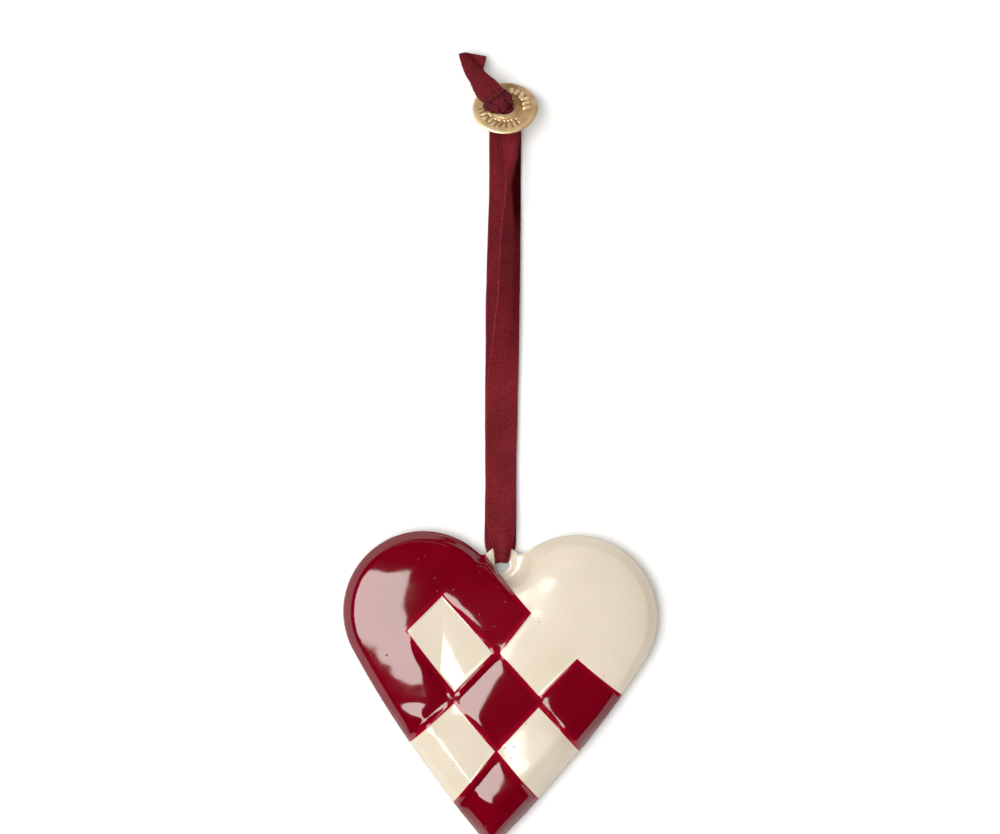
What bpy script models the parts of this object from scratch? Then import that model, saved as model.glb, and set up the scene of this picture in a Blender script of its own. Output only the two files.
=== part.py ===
"""Metal heart ornament with its ribbon, lying on its back.

An enamelled heart, 63 mm wide, in the traditional three by three woven heart
check, hangs on a narrow ribbon.  The ribbon is looped through the hole of the
heart's tab, both strands run up to a small brass disc, go through the disc's
hole and are knotted on top of it, with two short tails.

Frame: metres, +Z up.  The heart lies on the flat of its back at z = 0, front
up, its two lobes and the ribbon towards +Y, its tip towards -Y.  The origin
is under the middle of the heart's own box.
"""
import math

import bmesh
import bpy
import numpy as np
from mathutils import Matrix, Vector
from mathutils.geometry import delaunay_2d_cdt

MM = 0.001

# ------------------------------------------------------------- the heart, mm
LEFT = (15.33, 17.15, 16.02)     # lobe centre out from the axis and up, then its radius
RIGHT = (15.20, 17.17, 16.33)
SIDE_R = 225.0              # the long sides bulge a little
TIP_AT = -27.41             # centre of the point's rounding
TIP_R = 1.5

RIM_BACK = 1.30             # the thin edge of the casting lies between these
RIM_FRONT = 2.70
BACK_ROLL = 3.6             # width of the rounded shoulder round the flat back
ROLL_W = 0.8                # front: steep roll behind the rim, wider on the lower sides ...
ROLL_H = 0.75
CAP_D = 15.0                # ... then a low cushion over the whole heart
CAP_H = 3.70
RELIEF = 1.10               # height of a strip over the grooves of the weave
DIVE = 2.3                  # how softly a strip's end dips under its neighbour
FLANK = 0.62                # how steep a strip's own long edge is

# Weave.  u runs down to the right, v down to the left, both along the strips.
# Edges across v: v = a + b*u + c*u*u; edges across u: u = a + b*v + c*v*v.
EDGE_V = ((-17.19, -0.0538, -0.0040), (-6.30, 0.0298, 0.0013), (6.32, 0.0840, -0.0019))
EDGE_U = ((-22.55, 0.0384, 0.0), (-6.62, 0.0703, -0.0014), (6.39, 0.1158, 0.0008))

TAB_R = 3.80                # the round hanging tab in the notch
TAB_Y = 27.00
TAB_BACK, TAB_FRONT = 1.40, 2.60
HOLE_R = 1.50
HOLE_Y = 27.10

# ------------------------------------------------------------ the ribbon, mm
RIBBON_W = 6.0
RIBBON_T = 0.40
STRAND_GAP = 0.30           # between the two strands, and to all they pass
BACK_Z = 0.35               # middle of the strand that lies on the surface
FRONT_Z = BACK_Z + RIBBON_T + STRAND_GAP

# -------------------------------------------------------------- the disc, mm
DISC_R = 6.5
DISC_HOLE_R = 2.25
DISC_T = 1.0                # over its raised rim
DISC_FIELD = 0.22           # the face lies this far under the rim
DISC_AT = (-2.90, 118.30, 4.42)
DISC_LEAN = math.radians(35.0)
DISC_TURN = math.radians(4.7)


# ----------------------------------------------------------------- outline
TOP_Y = max(LEFT[1] + LEFT[2], RIGHT[1] + RIGHT[2])
TIP_Y = TIP_AT - TIP_R
MID_X = 0.5 * ((RIGHT[0] + RIGHT[2]) - (LEFT[0] + LEFT[2]))
MID_Y = 0.5 * (TOP_Y + TIP_Y)      # the heart's box is centred on the origin


def place(x, y, z):
    """Millimetres on the drawing to metres in the part's frame."""
    return (x - MID_X) * MM, (y - MID_Y) * MM, z * MM


def arc(cx, cy, r, a0, a1, n):
    return [(cx + r * math.cos(a0 + (a1 - a0) * i / n), cy + r * math.sin(a0 + (a1 - a0) * i / n))
            for i in range(n)]


def meet(ax, ay, ra, bx, by, rb, side):
    """Point at ra from A and rb from B, to the left (1) or right (-1) of A to B."""
    dx, dy = bx - ax, by - ay
    d = math.hypot(dx, dy)
    a = (ra * ra - rb * rb + d * d) / (2 * d)
    h = side * math.sqrt(ra * ra - a * a)
    return ax + (a * dx - h * dy) / d, ay + (a * dy + h * dx) / d


def half_outline(half, notch_x, notch_y, step):
    """One half as if on the right, from the notch round the lobe and down to the point."""
    lx, ly, lr = half
    cx, cy = meet(lx, ly, SIDE_R - lr, 0.0, TIP_AT, SIDE_R - TIP_R, -1)
    start = math.atan2(notch_y - ly, notch_x - lx)
    s0 = math.atan2(ly - cy, lx - cx)
    s1 = math.atan2(TIP_AT - cy, -cx)
    pts = []
    for x, y, r, a0, a1 in ((lx, ly, lr, start, s0), (cx, cy, SIDE_R, s0, s1),
                            (0.0, TIP_AT, TIP_R, s1, -math.pi / 2)):
        pts += arc(x, y, r, a0, a1, max(2, round(abs(a1 - a0) * r / step)))
    return pts


def outline(step):
    """The whole outline, clockwise from the notch, as an (n, 2) array."""
    nx, ny = meet(-LEFT[0], LEFT[1], LEFT[2], RIGHT[0], RIGHT[1], RIGHT[2], 1)
    right = half_outline(RIGHT, nx, ny, step)
    left = [(-x, y) for x, y in reversed(half_outline(LEFT, -nx, ny, step)[1:])]
    return np.array(right + [(0.0, TIP_Y)] + left)


def edge_normals(loop):
    d = np.roll(loop, -1, 0) - np.roll(loop, 1, 0)
    d /= np.linalg.norm(d, axis=1)[:, None]
    n = np.stack([-d[:, 1], d[:, 0]], 1)
    c = loop.mean(0)
    s = np.sign(((c - loop) * n).sum(1))
    return n * np.where(s[:, None] == 0, 1, np.sign(s.sum()))


def distance_in(p, loop):
    """Distance from each point to the outline, and a softened one with no creases."""
    a, b = loop, np.roll(loop, -1, 0)
    ab = b - a
    ln = np.linalg.norm(ab, axis=1)
    out, soft = np.empty(len(p)), np.empty(len(p))
    for k in range(0, len(p), 4000):
        q = p[k:k + 4000, None, :]
        t = np.clip(((q - a) * ab).sum(2) / (ln * ln), 0, 1)
        r = np.linalg.norm(q - (a + t[..., None] * ab), axis=2)
        out[k:k + 4000] = r.min(1)
        m = np.linalg.norm(q - (a + b) / 2, axis=2) + 1e-6
        soft[k:k + 4000] = (math.pi / 2 / (ln / m ** 4).sum(1)) ** (1 / 3)
    return out, np.where(out < 0.8, out, soft)


# ------------------------------------------------------------------- weave
def to_uv(x, y):
    r = math.sqrt(0.5)
    return (x - y) * r, (-x - y) * r


def from_uv(u, v):
    r = math.sqrt(0.5)
    return (u - v) * r, (-u - v) * r


def poly(c, t):
    return c[0] + t * (c[1] + t * c[2])


def crossing(i, j):
    """Where edge i across u meets edge j across v."""
    u = v = 0.0
    for _ in range(30):
        u = poly(EDGE_U[i], v)
        v = poly(EDGE_V[j], u)
    return u, v


END = 60.0      # an edge that runs on past the outline


def seams():
    """Stretches of edge with a different colour on each side: kind, edge, from, to."""
    out = []
    for j in range(3):
        stops = [crossing(0, j)[0], crossing(1, j)[0], crossing(2, j)[0], END]
        if j == 0:
            stops[0] = -END
        for i in range(3):
            if j == 0 and i == 1:
                continue
            out.append(("v", j, stops[i], stops[i + 1]))
    for i in range(3):
        stops = [crossing(i, 0)[1], crossing(i, 1)[1], crossing(i, 2)[1], END]
        for j in range(3):
            if i == 0 and j != 1:
                continue
            out.append(("u", i, stops[j], stops[j + 1]))
    return out


SEAMS = seams()


def is_red(u, v):
    """Which strip lies on top: red runs along u, cream along v."""
    v0, v1, v2 = (poly(c, u) for c in EDGE_V)
    u0, u1, u2 = (poly(c, v) for c in EDGE_U)
    row = (v > v1).astype(int) + (v > v2)
    col = (u > u1).astype(int) + (u > u2)
    return (v > v0) & ((u < u0) | ((row + col) % 2 == 0))


def relief(x, y):
    """0 in the grooves to 1 on the flat of a strip."""
    u, v = to_uv(x, y)
    red = is_red(u, v)
    h = np.ones_like(u)
    for kind, k, s0, s1 in SEAMS:
        along, across, c = (u, v, EDGE_V[k]) if kind == "v" else (v, u, EDGE_U[k])
        past = np.maximum(np.maximum(s0 - along, along - s1), 0)
        d = np.hypot(across - poly(c, np.clip(along, s0, s1)), past)
        own_edge = red if kind == "v" else ~red
        h *= 1 - np.exp(-d / np.where(own_edge, FLANK, DIVE))
    return h


def front_z(p, loop):
    d, soft = distance_in(p, loop)
    low = np.clip((6.0 - p[:, 1]) / 16.0, 0, 1)
    low = low * low * (3 - 2 * low)
    t = np.clip(d / (ROLL_W + 1.5 * low), 0, 1)
    c = np.clip(soft / CAP_D, 0, 1)
    z = RIM_FRONT + ROLL_H - (ROLL_H + low) * (1 - np.sqrt(1 - (1 - t) ** 2)) + CAP_H * (1 - (1 - c) ** 2)
    fade = np.clip(d / 2.2, 0, 1)
    return z + RELIEF * relief(p[:, 0], p[:, 1]) * fade * fade * (3 - 2 * fade)


def back_z(d):
    t = np.clip(d / BACK_ROLL, 0, 1)
    return RIM_BACK * (1 - np.sqrt(1 - (1 - t) ** 2))


# ------------------------------------------------------------ helper tools
def collection(name):
    c = bpy.data.collections.new(name)
    bpy.context.scene.collection.children.link(c)
    return c


def material(name, colour, rough, metal=0.0):
    m = bpy.data.materials.new(name)
    m.use_nodes = True
    s = m.node_tree.nodes["Principled BSDF"]
    s.inputs["Base Color"].default_value = (*colour, 1)
    s.inputs["Roughness"].default_value = rough
    s.inputs["Metallic"].default_value = metal
    m.diffuse_color = (*colour, 1)
    return m


def add(name, mesh, coll, mat=None):
    ob = bpy.data.objects.new(name, mesh)
    coll.objects.link(ob)
    if mat:
        mesh.materials.append(mat)
    return ob


def guide(ob):
    ob.hide_render = True
    ob.display_type = "WIRE"
    return ob


def thin_out(groups, gap):
    """Keep the points of earlier groups, and later ones only where they fit."""
    kept, cells = [], {}
    for pts, g in zip(groups, gap):
        for x, y in pts:
            cx, cy = int(x // 2), int(y // 2)
            near = (q for i in (-1, 0, 1) for j in (-1, 0, 1) for q in cells.get((cx + i, cy + j), ()))
            if g and any((x - a) ** 2 + (y - b) ** 2 < g * g for a, b in near):
                continue
            kept.append((x, y))
            cells.setdefault((cx, cy), []).append((x, y))
    return np.array(kept)


# ------------------------------------------------------------- the heart
def heart_points(loop, rings, seam_rows, seam_step, fill):
    """Plan points: rings inside the outline, rows along the seams, then an even fill."""
    inward = edge_normals(loop)
    groups, gaps = [loop], [0.0]
    for off in rings:
        groups.append(loop + inward * off)
        gaps.append(0.35 * fill)
    for kind, k, s0, s1 in SEAMS:
        c = EDGE_V[k] if kind == "v" else EDGE_U[k]
        s0, s1 = max(s0, -32.0), min(s1, 32.0)
        n = max(2, round((s1 - s0) / seam_step))
        t = np.linspace(s0, s1, n + 1)
        for row in seam_rows:
            across = poly(c, t) + row
            x, y = from_uv(t, across) if kind == "v" else from_uv(across, t)
            groups.append(np.stack([x, y], 1))
            gaps.append(0.35 * fill if row == 0 else 0.42 * fill)
    xs = np.arange(-34, 34, fill)
    hexes = [(x + (fill / 2 if r % 2 else 0), y)
             for r, y in enumerate(np.arange(TIP_Y, TOP_Y, fill * 0.866)) for x in xs]
    groups.append(np.array(hexes))
    gaps.append(0.72 * fill)
    every = np.concatenate(groups)
    inside = inside_loop(every, loop)
    deep = np.zeros(len(every), bool)
    deep[inside] = distance_in(every[inside], loop)[0] > 0.30
    at, clean = len(loop), [loop]
    for g in groups[1:]:
        clean.append(g[deep[at:at + len(g)]])
        at += len(g)
    return thin_out(clean, gaps)


def inside_loop(p, loop):
    a, b = loop, np.roll(loop, -1, 0)
    hit = np.zeros(len(p), bool)
    for (ax, ay), (bx, by) in zip(a, b):
        up = (ay > p[:, 1]) != (by > p[:, 1])
        if by != ay:
            hit ^= up & (p[:, 0] < (bx - ax) * (p[:, 1] - ay) / (by - ay) + ax)
    return hit


def fill_plan(pts, n_loop):
    """Triangles over the plan points; the first n_loop points are the border."""
    ring = list(range(n_loop))
    co, _, faces, orig, _, _ = delaunay_2d_cdt([Vector(p) for p in pts], [], [ring], 1, 1e-7)
    keep = [o[0] for o in orig]
    return [tuple(keep[i] for i in f) for f in faces]


def heart_body(coll, mat):
    loop = outline(1.6)
    n = len(loop)
    front = heart_points(loop, (0.4, 1.0, 1.9), (0.0, -0.6, 0.6), 1.3, 1.6)
    inward = edge_normals(loop)
    bm = bmesh.new()
    zf = front_z(front, loop)
    verts = [bm.verts.new(place(x, y, z)) for (x, y), z in zip(front, zf)]
    for f in fill_plan(front, n):
        bm.faces.new([verts[i] for i in f])
    # the edge and the rounded shoulder of the back, ring by ring, to the flat back
    ring = verts[:n]
    for off in (0.0, 0.5, 1.5, BACK_ROLL):
        q = loop + inward * off
        if off:                       # keep the ring clear of itself in the notch
            q = np.where((np.abs(loop[:, 0:1]) < off + 0.4) & (loop[:, 1:2] > 20),
                         np.stack([loop[:, 0] * 0.999, loop[:, 1] - off * 1.6], 1), q)
        z = float(back_z(np.array([off]))[0])
        nxt = [bm.verts.new(place(x, y, z)) for x, y in q]
        for i in range(n):
            j = (i + 1) % n
            bm.faces.new((ring[i], ring[j], nxt[j], nxt[i]))
        ring = nxt
    bm.faces.new(ring)
    bmesh.ops.recalc_face_normals(bm, faces=bm.faces)
    me = bpy.data.meshes.new("heart")
    bm.to_mesh(me)
    bm.free()
    me.shade_smooth()
    me.set_sharp_from_angle(angle=math.radians(40))
    return add("heart", me, coll, mat)


def upright_cylinder(name, r, y, z0, z1, sides, coll):
    bm = bmesh.new()
    bmesh.ops.create_cone(bm, cap_ends=True, segments=sides, radius1=r * MM, radius2=r * MM,
                          depth=(z1 - z0) * MM,
                          matrix=Matrix.Translation(place(0, y, (z0 + z1) / 2)))
    me = bpy.data.meshes.new(name)
    bm.to_mesh(me)
    bm.free()
    return guide(add(name, me, coll))


# ------------------------------------------------------------- the ribbon
def smooth_route(knots, step):
    """Points about a step apart on a smooth curve through the knots."""
    k = np.array(knots, float)
    s = np.concatenate([[0], np.cumsum(np.linalg.norm(np.diff(k[:, :3], axis=0), axis=1))])
    n = len(k)
    m = np.zeros_like(k)
    m[1:-1] = (k[2:] - k[:-2]) / (s[2:] - s[:-2])[:, None]
    m[0] = (k[1] - k[0]) / (s[1] - s[0])
    m[-1] = (k[-1] - k[-2]) / (s[-1] - s[-2])
    out = []
    for i in range(n - 1):
        h = s[i + 1] - s[i]
        parts = max(1, round(h / step))
        for q in range(parts):
            t = q / parts
            a, b = 2 * t ** 3 - 3 * t * t + 1, t ** 3 - 2 * t * t + t
            c, d = -2 * t ** 3 + 3 * t * t, t ** 3 - t * t
            out.append(a * k[i] + b * h * m[i] + c * k[i + 1] + d * h * m[i + 1])
    out.append(k[-1])
    return np.array(out)


def loft(name, rows, coll, mat, side=(1, 0, 0), corners=10):
    """A closed band: each row is x, y, z, width, thickness, tilt of one oval section."""
    bm = bmesh.new()
    pts = rows[:, :3]
    tan = np.gradient(pts, axis=0)
    rings = []
    for p, t, row in zip(pts, tan, rows):
        t = Vector(t).normalized()
        w = Vector(side)
        w = (w - w.dot(t) * t).normalized()
        w = Matrix.Rotation(math.radians(row[5]), 3, t) @ w
        up = t.cross(w)
        ring = []
        for k in range(corners):
            a = 2 * math.pi * (k + 0.5) / corners
            c, s = math.cos(a), math.sin(a)
            c = math.copysign(abs(c) ** 0.45, c) * row[3] / 2
            s = math.copysign(abs(s) ** 0.45, s) * row[4] / 2
            q = Vector(p) + w * c + up * s
            ring.append(bm.verts.new(place(q.x, q.y, q.z)))
        rings.append(ring)
    for a, b in zip(rings, rings[1:]):
        for k in range(corners):
            j = (k + 1) % corners
            bm.faces.new((a[k], a[j], b[j], b[k]))
    bm.faces.new(rings[0])
    bm.faces.new(rings[-1])
    bmesh.ops.recalc_face_normals(bm, faces=bm.faces)
    me = bpy.data.meshes.new(name)
    bm.to_mesh(me)
    bm.free()
    me.shade_smooth()
    me.set_sharp_from_angle(angle=math.radians(50))
    return add(name, me, coll, mat)


def lane_x(y):
    """The strands run a little to the left on their way up."""
    return -0.89 - 0.0258 * (y - 40.0)


def disc_axes():
    n = Vector((0, math.sin(DISC_LEAN), math.cos(DISC_LEAN)))
    e = Vector((0, -math.cos(DISC_LEAN), math.sin(DISC_LEAN)))
    turn = Matrix.Rotation(DISC_TURN, 3, "Z")
    return turn @ n, turn @ e


# The upper strand stands up on its right-hand edge along part of its way:
# distance along Y, middle X, tilt in degrees of its left edge above its right.
TWIST = ((63.0, -1.47, 3), (69.2, -1.08, 21), (76.2, -0.85, 36), (80.8, -0.75, 43),
         (87.0, -0.82, 48), (93.5, -0.93, 51), (102.7, -0.75, 60), (108.0, -1.15, 52),
         (111.6, -1.90, 32))


def strand(front):
    """Rows of x, y, z, width, thickness, tilt from the tab's hole to the knot."""
    up = 1 if front else -1
    mid = (TAB_BACK + TAB_FRONT) / 2
    face = TAB_FRONT if front else TAB_BACK
    flat = FRONT_Z if front else BACK_Z
    n, e = disc_axes()
    c = Vector(DISC_AT)
    off = e * 0.66 * up
    edge_y = HOLE_Y + HOLE_R
    rows = [(-0.15, edge_y - 0.85, mid + 0.16 * up, 2.3, 0.9, 0),
            (-0.15, edge_y - 0.85, face, 2.3, 0.9, 0)]
    if front:
        rows += [(-0.17, edge_y - 0.55, face + 0.58, 2.5, 0.75, 0),
                 (-0.20, edge_y + 0.05, face + 0.78, 3.0, 0.65, 0),
                 (-0.30, edge_y + 1.4, face + 0.72, 4.6, 0.5, 0),
                 (-0.45, 32.0, face + 0.38, 5.8, RIBBON_T, 0),
                 (-0.60, 35.0, flat + 0.62, RIBBON_W, RIBBON_T, 0),
                 (lane_x(39.0), 39.0, flat + 0.08, RIBBON_W, RIBBON_T, 0)]
        for y in range(46, 60, 6):
            rows.append((lane_x(y), y, flat, RIBBON_W, RIBBON_T, 0))
        for y, x, tilt in TWIST:
            lift = RIBBON_W / 2 * math.sin(math.radians(tilt))
            rows.append((x, y, flat + lift, RIBBON_W, RIBBON_T, tilt))
    else:
        rows += [(-0.17, edge_y - 0.55, face - 0.58, 2.6, 0.7, 0),
                 (-0.20, edge_y + 0.05, face - 0.80, 3.2, 0.55, 0),
                 (-0.30, edge_y + 1.4, flat + 0.15, 5.6, RIBBON_T, 0),
                 (-0.45, 32.0, flat + 0.03, RIBBON_W, RIBBON_T, 0),
                 (-0.60, 35.0, flat, RIBBON_W, RIBBON_T, 0),
                 (lane_x(39.0), 39.0, flat, RIBBON_W, RIBBON_T, 0)]
        for y in range(47, 104, 8):
            rows.append((lane_x(y), y, flat, RIBBON_W, RIBBON_T, 0))
        rows.append((lane_x(108), 108, flat + 0.02, RIBBON_W, RIBBON_T, 0))
        rows.append((lane_x(112.2), 112.2, flat + 0.35, 5.6, 0.45, 0))
    near = c - n * 2.6 + off * 0.95 + Vector((0, -0.4, 0))
    rows.append((near.x, near.y, near.z, 4.3, 0.7, 8 if front else 0))
    near = c - n * 1.1 + off
    rows.append((near.x, near.y, near.z, 3.1, 0.95, 0))
    near = c + n * 0.15 + off
    rows.append((near.x, near.y, near.z, 2.9, 0.98, 0))
    return rows


def knot_rows():
    """The knot on the disc, then its two cut tails lying off to the upper left."""
    n, _ = disc_axes()
    c = Vector(DISC_AT)
    lift = DISC_T / 2 + STRAND_GAP
    k = c + n * (lift + 1.75)
    side = Vector((0.72, -0.70, 0))
    start = k + side * 2.05 - Vector((0, 0, 0.2))
    return [(start.x, start.y, start.z, 2.2, 1.3, 0),
            (k.x + side.x * 1.3, k.y + side.y * 1.3, k.z, 4.2, 2.3, 0),
            (k.x, k.y, k.z + 0.1, 5.0, 2.9, 0),
            (k.x - 1.3, k.y + 1.4, k.z + 0.05, 5.0, 2.5, 0),
            (k.x - 2.9, k.y + 3.4, k.z - 0.75, 5.0, 1.7, 0),
            (k.x - 4.6, k.y + 5.9, k.z - 2.3, 5.0, 1.3, 0),
            (k.x - 6.0, k.y + 8.0, k.z - 3.7, 5.1, 1.2, 0),
            (k.x - 6.9, k.y + 9.3, k.z - 4.55, 5.3, 1.2, 0)]


# --------------------------------------------------------------- the disc
def disc(coll, mat):
    """A turned brass disc: hole, raised ring round it, sunk field, raised rim."""
    t = DISC_T / 2
    f = t - DISC_FIELD
    profile = [(DISC_R - 0.25, t), (DISC_R, t - 0.25), (DISC_R, -t + 0.25), (DISC_R - 0.25, -t),
               (DISC_HOLE_R + 0.2, -t), (DISC_HOLE_R, -t + 0.2), (DISC_HOLE_R, t - 0.2),
               (DISC_HOLE_R + 0.2, t), (DISC_HOLE_R + 0.75, t), (DISC_HOLE_R + 1.0, f),
               (DISC_R - 1.15, f), (DISC_R - 0.85, t)]
    me = bpy.data.meshes.new("disc")
    n = len(profile)
    me.from_pydata([(x * MM, 0, z * MM) for x, z in profile],
                   [(i, (i + 1) % n) for i in range(n)], [])
    ob = add("disc", me, coll, mat)
    sc = ob.modifiers.new("turned", "SCREW")
    sc.angle = 2 * math.pi
    sc.steps = sc.render_steps = 40
    sc.use_merge_vertices = True
    sc.merge_threshold = 0.00001
    sc.use_smooth_shade = True
    ob.rotation_euler = (-DISC_LEAN, 0, DISC_TURN)
    ob.location = place(*DISC_AT)
    return ob


def main():
    for ob in list(bpy.data.objects):
        bpy.data.objects.remove(ob, do_unlink=True)
    parts = collection("metal_heart_ornament")
    tools = collection("cutters")

    enamel = material("enamel", (0.20, 0.0, 0.01), 0.15)
    ribbon = material("ribbon", (0.17, 0.01, 0.02), 0.8)
    ribbon_under = material("ribbon_under", (0.12, 0.008, 0.016), 0.8)
    ribbon_knot = material("ribbon_knot", (0.18, 0.012, 0.024), 0.8)
    brass = material("brass", (0.48, 0.29, 0.11), 0.35, 1.0)

    heart = heart_body(parts, enamel)
    tab = upright_cylinder("tab_blank", TAB_R, TAB_Y, TAB_BACK, TAB_FRONT, 40, tools)
    hole = upright_cylinder("tab_hole", HOLE_R, HOLE_Y, -1.0, 12.0, 28, tools)
    join = heart.modifiers.new("tab", "BOOLEAN")
    join.operation, join.solver, join.object = "UNION", "EXACT", tab
    cut = heart.modifiers.new("hole", "BOOLEAN")
    cut.operation, cut.solver, cut.object = "DIFFERENCE", "EXACT", hole

    loft("ribbon_front", smooth_route(strand(True), 2.0), parts, ribbon)
    loft("ribbon_back", smooth_route(strand(False), 2.0), parts, ribbon_under)
    loft("knot", smooth_route(knot_rows(), 0.9), parts, ribbon_knot, side=(0.80, 0.60, 0), corners=12)
    disc(parts, brass)


main()
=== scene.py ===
"""Finish of the metal heart ornament: fine enamelled relief, woven ribbon, knot and brass disc."""
import math

import bpy
import numpy as np
from mathutils import Matrix, Vector
from mathutils.geometry import delaunay_2d_cdt

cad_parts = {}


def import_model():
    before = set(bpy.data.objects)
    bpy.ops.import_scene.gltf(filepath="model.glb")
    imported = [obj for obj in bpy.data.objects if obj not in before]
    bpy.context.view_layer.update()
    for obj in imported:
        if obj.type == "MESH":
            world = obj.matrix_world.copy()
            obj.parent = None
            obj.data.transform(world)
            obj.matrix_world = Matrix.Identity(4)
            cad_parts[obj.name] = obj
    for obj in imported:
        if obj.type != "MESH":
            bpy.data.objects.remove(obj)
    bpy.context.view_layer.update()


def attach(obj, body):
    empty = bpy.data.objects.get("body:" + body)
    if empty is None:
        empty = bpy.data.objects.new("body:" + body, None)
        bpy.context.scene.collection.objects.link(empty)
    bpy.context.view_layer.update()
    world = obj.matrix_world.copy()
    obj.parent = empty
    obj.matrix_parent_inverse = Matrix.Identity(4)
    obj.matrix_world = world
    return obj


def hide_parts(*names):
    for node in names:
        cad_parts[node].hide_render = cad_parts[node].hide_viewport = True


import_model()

MM = 0.001
rng = np.random.default_rng(11)

# ------------------------------------------------------------- the heart, mm
LEFT = (15.33, 17.15, 16.02, 225.0)     # lobe centre out and up, its radius, the side's radius
RIGHT = (15.20, 17.17, 16.33, 225.0)
TIP_AT = -27.41                         # centre of the point's rounding
TIP_R = 1.5
FILLET = 1.2                            # between the tab and the lobes
MID_X = 0.09                            # middle of the heart's own box
MID_Y = 2.295

RIM_BACK = 1.30
RIM_FRONT = 2.70
BACK_ROLL = 3.6
ROLL_W = 0.55
ROLL_H = 0.60
CAP_D = 15.0
CAP_H = 3.70
RELIEF = 1.10
FADE = 2.2
BEVEL = 5.2                             # on the lower sides
BEND = 0.14

EDGE_V = ((-17.19, -0.0538, -0.0040), (-6.30, 0.0298, 0.0013), (6.32, 0.0840, -0.0019))
EDGE_U = ((-22.55, 0.0384, 0.0), (-6.62, 0.0703, -0.0014), (6.39, 0.1158, 0.0008))
INSET = {(1, 1): 0.566, (1, 2): 0.78, (2, 1): 0.78, (2, 2): 0.21}   # cream corners stop short here
REACH = 34.0

TAB_R, TAB_Y = 3.80, 27.00
TAB_FRONT = 2.15
HOLE_R, HOLE_Y = 1.50, 27.10

# ------------------------------------------------------------ the ribbon, mm
RIBBON_W = 6.0
RIBBON_T = 0.36
RIB = 0.57                              # from one cross rib to the next
BACK_Z = 0.35
FRONT_Z = 1.05

# -------------------------------------------------------------- the disc, mm
DISC_R = 6.5
DISC_HOLE_R = 1.95
DISC_T = 1.0
DISC_FIELD = 0.22
DISC_AT = (-2.90, 118.30, 4.42)
DISC_LEAN = math.radians(35.0)
DISC_TURN = math.radians(4.7)

# ---------------------------------------------------- the picture's own frame
TURN = math.radians(2.2)                # the heart stands 2.2 degrees off upright in the picture
UNIT = 0.2                              # millimetres a unit on the plane at PLANE_Z
PLANE_Z = 2.0
LENS, SENSOR = 150.0, 36.0
EYE = UNIT * 1000 * LENS / SENSOR       # height of the eye over that plane, mm


def at(px, py, z=PLANE_Z):
    """Heart coordinates of a place in the picture, for a point at height z."""
    k = UNIT * (EYE + PLANE_Z - z) / EYE
    X = (px - 500.0) * k
    Y = (417.0 - py) * k
    Y0 = (700.0 - 417.0) * UNIT
    c, s = math.cos(TURN), math.sin(TURN)
    return X * c - (Y + Y0) * s + 0.65, X * s + (Y + Y0) * c


def world(p):
    """Millimetres in heart coordinates to metres in the model's frame."""
    p = np.asarray(p, float)
    return (p - np.array([MID_X, MID_Y, 0.0])) * MM


# ----------------------------------------------------------------- outline
def arc(cx, cy, r, a0, a1, n):
    return [(cx + r * math.cos(a0 + (a1 - a0) * i / n), cy + r * math.sin(a0 + (a1 - a0) * i / n))
            for i in range(n)]


def meet(ax, ay, ra, bx, by, rb, side):
    """Point at ra from A and rb from B, to the left (1) or right (-1) of A to B."""
    dx, dy = bx - ax, by - ay
    d = math.hypot(dx, dy)
    a = (ra * ra - rb * rb + d * d) / (2 * d)
    h = side * math.sqrt(ra * ra - a * a)
    return ax + (a * dx - h * dy) / d, ay + (a * dy + h * dx) / d


def half_outline(half, step):
    """One half as if on the right: tab, fillet, lobe, side and tip, clockwise."""
    lx, ly, lr, sr = half
    cx, cy = meet(lx, ly, sr - lr, 0.0, TIP_AT, sr - TIP_R, -1)
    fx, fy = meet(lx, ly, lr + FILLET, 0.0, TAB_Y, TAB_R + FILLET, -1)
    t1 = math.atan2(fy - TAB_Y, fx)
    t2 = math.atan2(fy - ly, fx - lx)
    s0 = math.atan2(ly - cy, lx - cx)
    s1 = math.atan2(TIP_AT - cy, -cx)
    runs = ((0.0, TAB_Y, TAB_R, math.pi / 2, t1), (fx, fy, FILLET, t1 + math.pi, t2 + math.pi),
            (lx, ly, lr, t2, s0), (cx, cy, sr, s0, s1), (0.0, TIP_AT, TIP_R, s1, -math.pi / 2))
    pts = []
    for x, y, r, a0, a1 in runs:
        pts += arc(x, y, r, a0, a1, max(3, round(abs(a1 - a0) * r / step)))
    return pts


def outline(step):
    right = half_outline(RIGHT, step)
    left = [(-x, y) for x, y in reversed(half_outline(LEFT, step)[1:])]
    return np.array(right + [(0.0, TIP_AT - TIP_R)] + left)


def ring_normals(loop):
    """Unit normals into a clockwise loop."""
    d = np.roll(loop, -1, 0) - np.roll(loop, 1, 0)
    d /= np.linalg.norm(d, axis=1)[:, None]
    return np.stack([d[:, 1], -d[:, 0]], 1)


def inside_loop(p, loop):
    a, b = loop, np.roll(loop, -1, 0)
    hit = np.zeros(len(p), bool)
    for (ax, ay), (bx, by) in zip(a, b):
        if by != ay:
            up = (ay > p[:, 1]) != (by > p[:, 1])
            hit ^= up & (p[:, 0] < (bx - ax) * (p[:, 1] - ay) / (by - ay) + ax)
    return hit


def reach(p, a, b, soften=False):
    """Distance from points to the segments a-b, or a softened one with no creases."""
    ab = b - a
    ln = np.linalg.norm(ab, axis=1)
    out = np.empty(len(p))
    for k in range(0, len(p), 3000):
        q = p[k:k + 3000, None, :]
        if soften:
            m = np.linalg.norm(q - (a + b) / 2, axis=2) + 1e-6
            out[k:k + 3000] = (math.pi / 2 / (ln / m ** 4).sum(1)) ** (1 / 3)
        else:
            t = np.clip(((q - a) * ab).sum(2) / (ln * ln + 1e-12), 0, 1)
            out[k:k + 3000] = np.linalg.norm(q - (a + t[..., None] * ab), axis=2).min(1)
    return out


# ------------------------------------------------------------------- weave
R2 = math.sqrt(0.5)


def to_uv(x, y):
    return (x - y) * R2, (-x - y) * R2


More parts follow.
